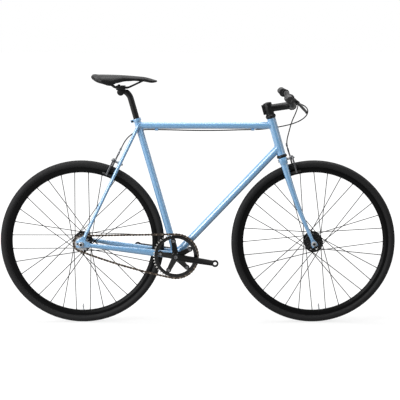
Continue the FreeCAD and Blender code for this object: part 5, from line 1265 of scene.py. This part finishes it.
@dataclass
class Housings:
    """Brake cable housings, laid through the same points as the CAD's."""

    radius: float = 0.0025
    ferrule: float = 0.011  # length of the metal cap at a lever
    ferrule_wall: float = 0.0004  # also the rounding of its edge
    ferrule_mouth: float = 0.7  # as a share of its width
    adjuster_foot: Profile = ((0.0, 0.0), (0.0028, 0.0), (0.0028, 0.0068), (0.0040, 0.0072))
    adjuster_knurl: Triple = (0.0080, 0.0150, 0.0014)  # where it begins and ends, and its pitch
    adjuster_rib: Profile = ((0.0045, 0.0), (0.0041, 0.0007))
    adjuster_head: Profile = ((0.0036, 0.0164), (0.0033, 0.0170), (0.0033, 0.0205), (0.0028, 0.0210),
                              (0.0, 0.0210))
    front: tuple[Point, ...] = (
        (0.407, 0.1352, 0.9322), (0.4175, 0.1166, 0.9267), (0.4224, 0.088, 0.9148), (0.4124, 0.062, 0.8838),
        (0.3924, 0.044, 0.8457), (0.3804, 0.036, 0.8037), (0.3683, 0.033, 0.7546), (0.3744, 0.033, 0.7334),
    )
    rear_lever: tuple[Point, ...] = (
        (0.407, -0.1352, 0.9322), (0.4175, -0.1166, 0.9267), (0.4354, -0.093, 0.9178),
        (0.4504, -0.068, 0.8998), (0.4474, -0.038, 0.8748), (0.4254, -0.008, 0.8518),
        (0.3904, 0.016, 0.8348), (0.35, 0.03, 0.824), (0.308, 0.031, 0.817), (0.274, 0.016, 0.8142),
        (0.25, 0.003, 0.8137), (0.238, 0.0, 0.8136),
    )
    rear_frame: tuple[Point, ...] = (
        (0.2355, 0.0, 0.8136), (0.17, 0.0, 0.8124), (0.116, 0.0, 0.8106), (0.056, 0.0, 0.8097),
        (-0.0021, 0.0, 0.8099), (-0.0601, 0.0, 0.8109), (-0.1181, 0.0, 0.8125), (-0.1921, 0.0, 0.8138),
        (-0.2241, 0.013, 0.812), (-0.2481, 0.03, 0.806), (-0.2721, 0.038, 0.793), (-0.2981, 0.038, 0.771),
        (-0.3167, 0.033, 0.7373), (-0.3263, 0.033, 0.7176),
    )

    def build(self) -> None:
        """Lays the three housings, caps them at the levers and screws them to the callipers."""
        ends = (("front", self.front, "steering"), ("rear", self.rear_frame, "frame"))
        for end, route, body in ends:
            node = end + "_brake_housing"
            cord = curve_through(node + "_cord", route, self.radius)
            fit(dress(cord, HOUSING), body, "housing_plastic", node)
        self.build_bridge()
        for end, route in (("front", self.front), ("rear", self.rear_lever)):
            self.build_ferrule(end + "_lever_ferrule", route)
        for end, route, body in ends:
            self.build_adjuster(end + "_barrel_adjuster", route, body)

    def build_bridge(self) -> None:
        """Housing from the lever to the frame."""
        line = curve_through("housing_line", self.rear_lever, 0.0)
        tube = curve_through("housing_tube", self.rear_lever, self.radius)
        bpy.context.view_layer.update()
        path = [tuple(vertex.co) for vertex in bpy.data.meshes.new_from_object(line).vertices]
        piece = new_object("rear_housing_lever_cord", bpy.data.meshes.new_from_object(tube))
        for curve in (line, tube):
            bpy.data.objects.remove(curve)
        dress(smooth(clean(piece), angle=50.0), HOUSING)
        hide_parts("rear_housing_lever_end")
        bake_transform(piece)
        log.info("%s bends between frame and steering", piece.name)

    def end_place(self, end: Point, after: Point) -> Matrix:
        """Placing at a housing's end with Z along the housing, towards the next point of its route."""
        return frame_of(Vector(end), Vector(after) - Vector(end), ASLANT)

    def build_ferrule(self, name: str, route: Sequence[Point]) -> None:
        """Metal cap over a housing's end at its lever.

        Args:
            name: The piece's name.
            route: The housing's route, from the lever.
        """
        cap = cylinder(name, self.radius + self.ferrule_wall, self.ferrule, sides=20)
        with editing(cap):
            select_parts(cap, "VERT", lambda point: point.co.z > self.ferrule / 2)
            bpy.ops.mesh.bevel(offset=self.ferrule_wall, segments=2)
            select_parts(cap, "VERT", lambda point: point.co.z < TOUCH)
            bpy.ops.mesh.extrude_region_move()
            bpy.ops.transform.resize(value=(self.ferrule_mouth, self.ferrule_mouth, 1.0),
                                     center_override=(0, 0, 0))
        placed(cap, self.end_place(route[0], route[1]))
        fit(dress(smooth(cap, angle=40.0), OXIDE), "steering", "housing_plastic")

    def build_adjuster(self, name: str, route: Sequence[Point], body: str) -> None:
        """Knurled barrel adjuster on its screw, at a housing's end on a calliper.

        Args:
            name: The piece's name.
            route: The housing's route, to the calliper.
            body: The body that carries it.
        """
        knurl = ribs(*self.adjuster_knurl, self.adjuster_rib)
        barrel = turned(name, [*self.adjuster_foot, *knurl, *self.adjuster_head], steps=24)
        placed(barrel, self.end_place(route[-1], route[-2]))
        fit(dress(smooth(barrel, angle=30.0), BOLT_PAINTED_HIGHLIGHT), body, "housing_plastic")


@dataclass
class Seat:
    """Saddle, rails, clamp and seatpost."""

    voxel: float = 0.0035  # size of the pad's mesh before it swells
    start_size: float = 0.99  # share of its CAD solid from which the pad swells
    pressure: float = 4.0
    swell: float = 0.003  # the furthest that the padding may push the cover
    frames: int = 20  # how long it pushes
    wing_drop: float = 0.016  # of the lower edges
    wing_place: float = 0.28  # places and reaches are shares of the saddle's length
    wing_reach: float = 0.30
    tail_drop: float = 0.014
    tail_lift: float = 0.006  # of the upper edge of the tail's end
    tail_reach: float = 0.22
    nose_drop: float = 0.007
    nose_place: float = 0.93
    nose_reach: float = 0.16

    ROUNDED = (Rounded("saddle_clamp", 0.0012, ANODISED, "seat", "black_alloy"),
               Rounded("seatpost", 0.0006, ANODISED, "seat", "black_alloy"))

    def build(self) -> None:
        """Makes the padded saddle and finishes what carries it."""
        self.build_saddle()
        for part in self.ROUNDED:
            part.build()
        dress(frame["nodes"]["saddle_rails"], OXIDE)

    def build_saddle(self) -> None:
        """Padded saddle: the CAD's loft, remeshed, drawn down, swollen as cloth and subdivided."""
        pad = node_copy("saddle")
        pad.name = "padded_saddle"
        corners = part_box("saddle")
        middle = (Vector(corners[0]) + Vector(corners[1])) / 2
        shrink = Matrix.Translation(middle) @ Matrix.Scale(self.start_size, 4) @ Matrix.Translation(-middle)
        clean(placed(pad, shrink))
        modify(pad, "REMESH", mode="VOXEL", voxel_size=self.voxel)
        self.drop_edges(pad)
        self.swell_pad(pad)
        modify(pad, "SMOOTH", factor=0.5, iterations=4)
        modify(pad, "SUBSURF", levels=1, render_levels=1)
        smooth(pad, angle=80.0)
        fit(dress(pad, SADDLE_COVER), "seat", "saddle_cover", "saddle")

    def drop_edges(self, pad: Piece) -> None:
        """Draws the lower edges of wings, tail and nose down, as a cover stretched over its shell has them.

        Args:
            pad: The remeshed pad.
        """
        low, high = (Vector(corner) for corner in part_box("saddle"))
        size = high - low
        for vertex in pad.data.vertices:
            along = (vertex.co.x - low.x) / size.x
            across = abs(vertex.co.y) / (size.y / 2)
            below = max(0.0, 1 - (vertex.co.z - low.z) / size.z)
            wing = self.rise(1 - abs(along - self.wing_place) / self.wing_reach) * across ** 2
            tail = self.rise(1 - along / self.tail_reach)
            nose = self.rise(1 - abs(along - self.nose_place) / self.nose_reach)
            drop = self.wing_drop * wing + self.tail_drop * tail + self.nose_drop * nose
            end = self.rise(1 - 2 * along / self.tail_reach)
            vertex.co.z += self.tail_lift * end * (1 - below) - drop * below

    def rise(self, share: float) -> float:
        """Smooth step from 0 to 1 as a share goes from 0 to 1."""
        held = min(max(share, 0.0), 1.0)
        return held * held * (3 - 2 * held)

    def swell_pad(self, pad: Piece) -> None:
        """Lets the padding push the cover out, no further than the cap.

        Args:
            pad: The remeshed pad.
        """
        before = [vertex.co.copy() for vertex in pad.data.vertices]
        activate(pad)
        modifier = pad.modifiers.new("Cloth", "CLOTH")
        modifier.settings.use_pressure = True
        modifier.settings.uniform_pressure_force = self.pressure
        modifier.settings.effector_weights.gravity = 0.0
        for step in range(1, self.frames + 1):
            bpy.context.scene.frame_set(step)
        bpy.ops.object.modifier_apply(modifier=modifier.name)
        bpy.context.scene.frame_set(1)
        for vertex, start in zip(pad.data.vertices, before):
            move = vertex.co - start
            if move.length > self.swell:
                vertex.co = start + move * (self.swell / move.length)


@dataclass
class Fixings:
    """Axles, nuts and the seat collar."""

    nut_edge: float = 0.0005
    collar_edge: float = 0.0008
    collar_half: float = 0.0086  # half the ears' width, outside which the bolt's head and nut lie
    collar_back: float = 0.0160  # behind the seat tube's middle, where the bolt's head begins

    def build(self) -> None:
        """Finishes the small fixings."""
        for end, body in (("front", "steering"), ("rear", "frame")):
            Rounded(end + "_axle_nuts", self.nut_edge, ZINC, body, "bright_steel").build()
            dress(frame["nodes"][end + "_axle"], OXIDE)
        self.build_collar()

    def build_collar(self) -> None:
        """Painted seat collar with a black bolt."""
        collar = dress(eased(node_copy("seat_collar"), self.collar_edge), ENAMEL)
        collar.data.materials.append(OXIDE.material())
        for face in collar.data.polygons:
            middle = BRACKET.x + (face.center.z - BRACKET.z) * SEAT_UP.x / SEAT_UP.z
            behind = middle - face.center.x > self.collar_back
            face.material_index = int(behind and abs(face.center.y) > self.collar_half)
        fit(collar, "frame", "frame_paint", "seat_collar")


@dataclass
class Studio:
    """Pale floor, soft light and the camera."""

    camera_place: Point = (0.0095, -5.339, 1.327)
    target: Point = (0.0095, 0.0, 0.519)
    lens: float = 116.6
    sensor: float = 36.0
    floor_size: float = 60.0
    bounce: str = "#646464"  # colour of the light that the floor throws back
    shade: str = "#9C9C9C"  # colour beside the floor's glow, which carries the shadow
    near: Ramp = ((0.06, 0.32), (0.72, 0.83))  # distance from the middle plane, and the floor's glow
    far: Ramp = ((0.9, 1.9), (0.0, 0.99))  # distance from the middle, and the glow where it is more
    front: Ramp = ((-2.2, -1.2), (0.12, 1.0))  # place along Y, and the share of the glow that is mirrored
    left: Ramp = ((-1.3, -0.5), (1.0, 0.35))  # place along the bicycle, and that share
    backdrop: Ramp = ((-0.5, 0.1), (0.22, 1.0))  # direction along Y, and the share that is mirrored
    ambient: Pair = (0.34, 1.0)  # in lighting, and in what is shown
    lamps: tuple[tuple[str, Point, float, float], ...] = (  # name, place, width and watts
        ("key_box", (-3.2, -3.0, 2.2), 3.2, 205.0),
        ("top_box", (0.0, 0.1, 3.3), 2.6, 70.0),
        ("fill_box", (3.4, -2.8, 1.5), 1.4, 12.0),
    )
    lamp_target: Point = (0.0, 0.0, 0.5)

    def build(self) -> None:
        """Sets floor, world, lamps and camera."""
        self.build_floor()
        self.build_world()
        self.build_lamps()
        self.build_camera()
        bpy.context.scene.view_settings.view_transform = "Standard"

    def build_floor(self) -> None:
        """White floor that is white to the camera and keeps the soft shadow."""
        deselect()
        bpy.ops.mesh.primitive_plane_add(size=self.floor_size, location=(0, 0, 0))
        floor = bpy.context.object
        floor.name = "studio_floor"
        material = blank(bpy.data.materials.new("white_studio_floor"))
        place = add_node(material, "TexCoord").outputs["Object"]
        parts = add_node(material, "SeparateXYZ", {"Vector": place}).outputs
        reach = add_node(material, "VectorMath", {0: place}, operation="LENGTH").outputs["Value"]
        near = ramp(material, calculate(material, "ABSOLUTE", parts["Y"]), *self.near)
        level = calculate(material, "MAXIMUM", near, ramp(material, reach, *self.far))
        front = ramp(material, parts["Y"], *self.front)
        mirrored = calculate(material, "MULTIPLY", front, ramp(material, parts["X"], *self.left))
        kept = calculate(material, "MAXIMUM", mirrored, self.camera_ray(material))
        strength = calculate(material, "MULTIPLY", level, kept)
        bounce = add_node(material, "BsdfDiffuse", {"Color": linear(self.bounce)}).outputs[0]
        shade = add_node(material, "BsdfDiffuse", {"Color": linear(self.shade)}).outputs[0]
        glow = add_node(material, "Emission", {"Color": WHITE, "Strength": strength}).outputs[0]
        white = add_node(material, "AddShader", {0: shade, 1: glow}).outputs[0]
        mixed = add_node(material, "MixShader", {0: self.shown(material), 1: bounce, 2: white})
        add_node(material, "OutputMaterial", {"Surface": mixed.outputs[0]})
        floor.data.materials.append(material)

    def build_world(self) -> None:
        """White backdrop that mirrors dimmer on the camera's side and gives less light than it shows."""
        world = blank(bpy.data.worlds.new("white_surround"))
        bpy.context.scene.world = world
        way = add_node(world, "TexCoord").outputs["Generated"]
        parts = add_node(world, "SeparateXYZ", {"Vector": way}).outputs
        backdrop = ramp(world, parts["Y"], *self.backdrop)
        kept = calculate(world, "MAXIMUM", backdrop, self.camera_ray(world))
        level = ramp(world, self.shown(world), (0.0, 1.0), self.ambient)
        strength = calculate(world, "MULTIPLY", kept, level)
        surround = add_node(world, "Background", {"Color": WHITE, "Strength": strength})
        add_node(world, "OutputWorld", {"Surface": surround.outputs[0]})

    def camera_ray(self, owner: Owner) -> Socket:
        """One for the camera's own rays."""
        return add_node(owner, "LightPath").outputs["Is Camera Ray"]

    def shown(self, owner: Owner) -> Socket:
        """One for rays that show the background: the camera's, reflected and refracted ones.

        Args:
            owner: The material or world.

        Returns:
            The value.
        """
        rays = add_node(owner, "LightPath").outputs
        seen = calculate(owner, "MAXIMUM", rays["Is Camera Ray"], rays["Is Glossy Ray"])
        return calculate(owner, "MAXIMUM", seen, rays["Is Transmission Ray"])

    def aimed(self, name: str, data: bpy.types.ID, place: Point, target: Point) -> Piece:
        """Hangs a lamp or the camera at a place and points it.

        Args:
            name: The object's name.
            data: The lamp or camera.
            place: Where it hangs.
            target: Where it points.

        Returns:
            The object.
        """
        holder = new_object(name, data)
        holder.location = place
        holder.rotation_euler = (Vector(target) - Vector(place)).to_track_quat("-Z", "Y").to_euler()
        return holder

    def build_lamps(self) -> None:
        """Key box at the upper left in front, a box above and a weak one at the right."""
        for name, place, size, power in self.lamps:
            lamp = bpy.data.lights.new(name, "AREA")
            lamp.size = size
            lamp.energy = power
            self.aimed(name, lamp, place, self.lamp_target)

    def build_camera(self) -> None:
        """Camera at the photograph's angle."""
        data = bpy.data.cameras.new("camera")
        data.lens = self.lens
        data.sensor_width = self.sensor
        data.clip_end = 100.0
        bpy.context.scene.camera = self.aimed("camera", data, self.camera_place, self.target)


def main() -> None:
    """Builds all sub-assemblies in order."""
    wheels = (Wheel("front", valve_turn=84.375), Wheel("rear", valve_turn=90.0))
    for part in (Studio(), Housings(), Frame(), *wheels, Drive(), Cockpit(), Brakes(), Seat(), Fixings()):
        log.info("building %s", type(part).__name__)
        part.build()


if __name__ == "__main__":
    main()
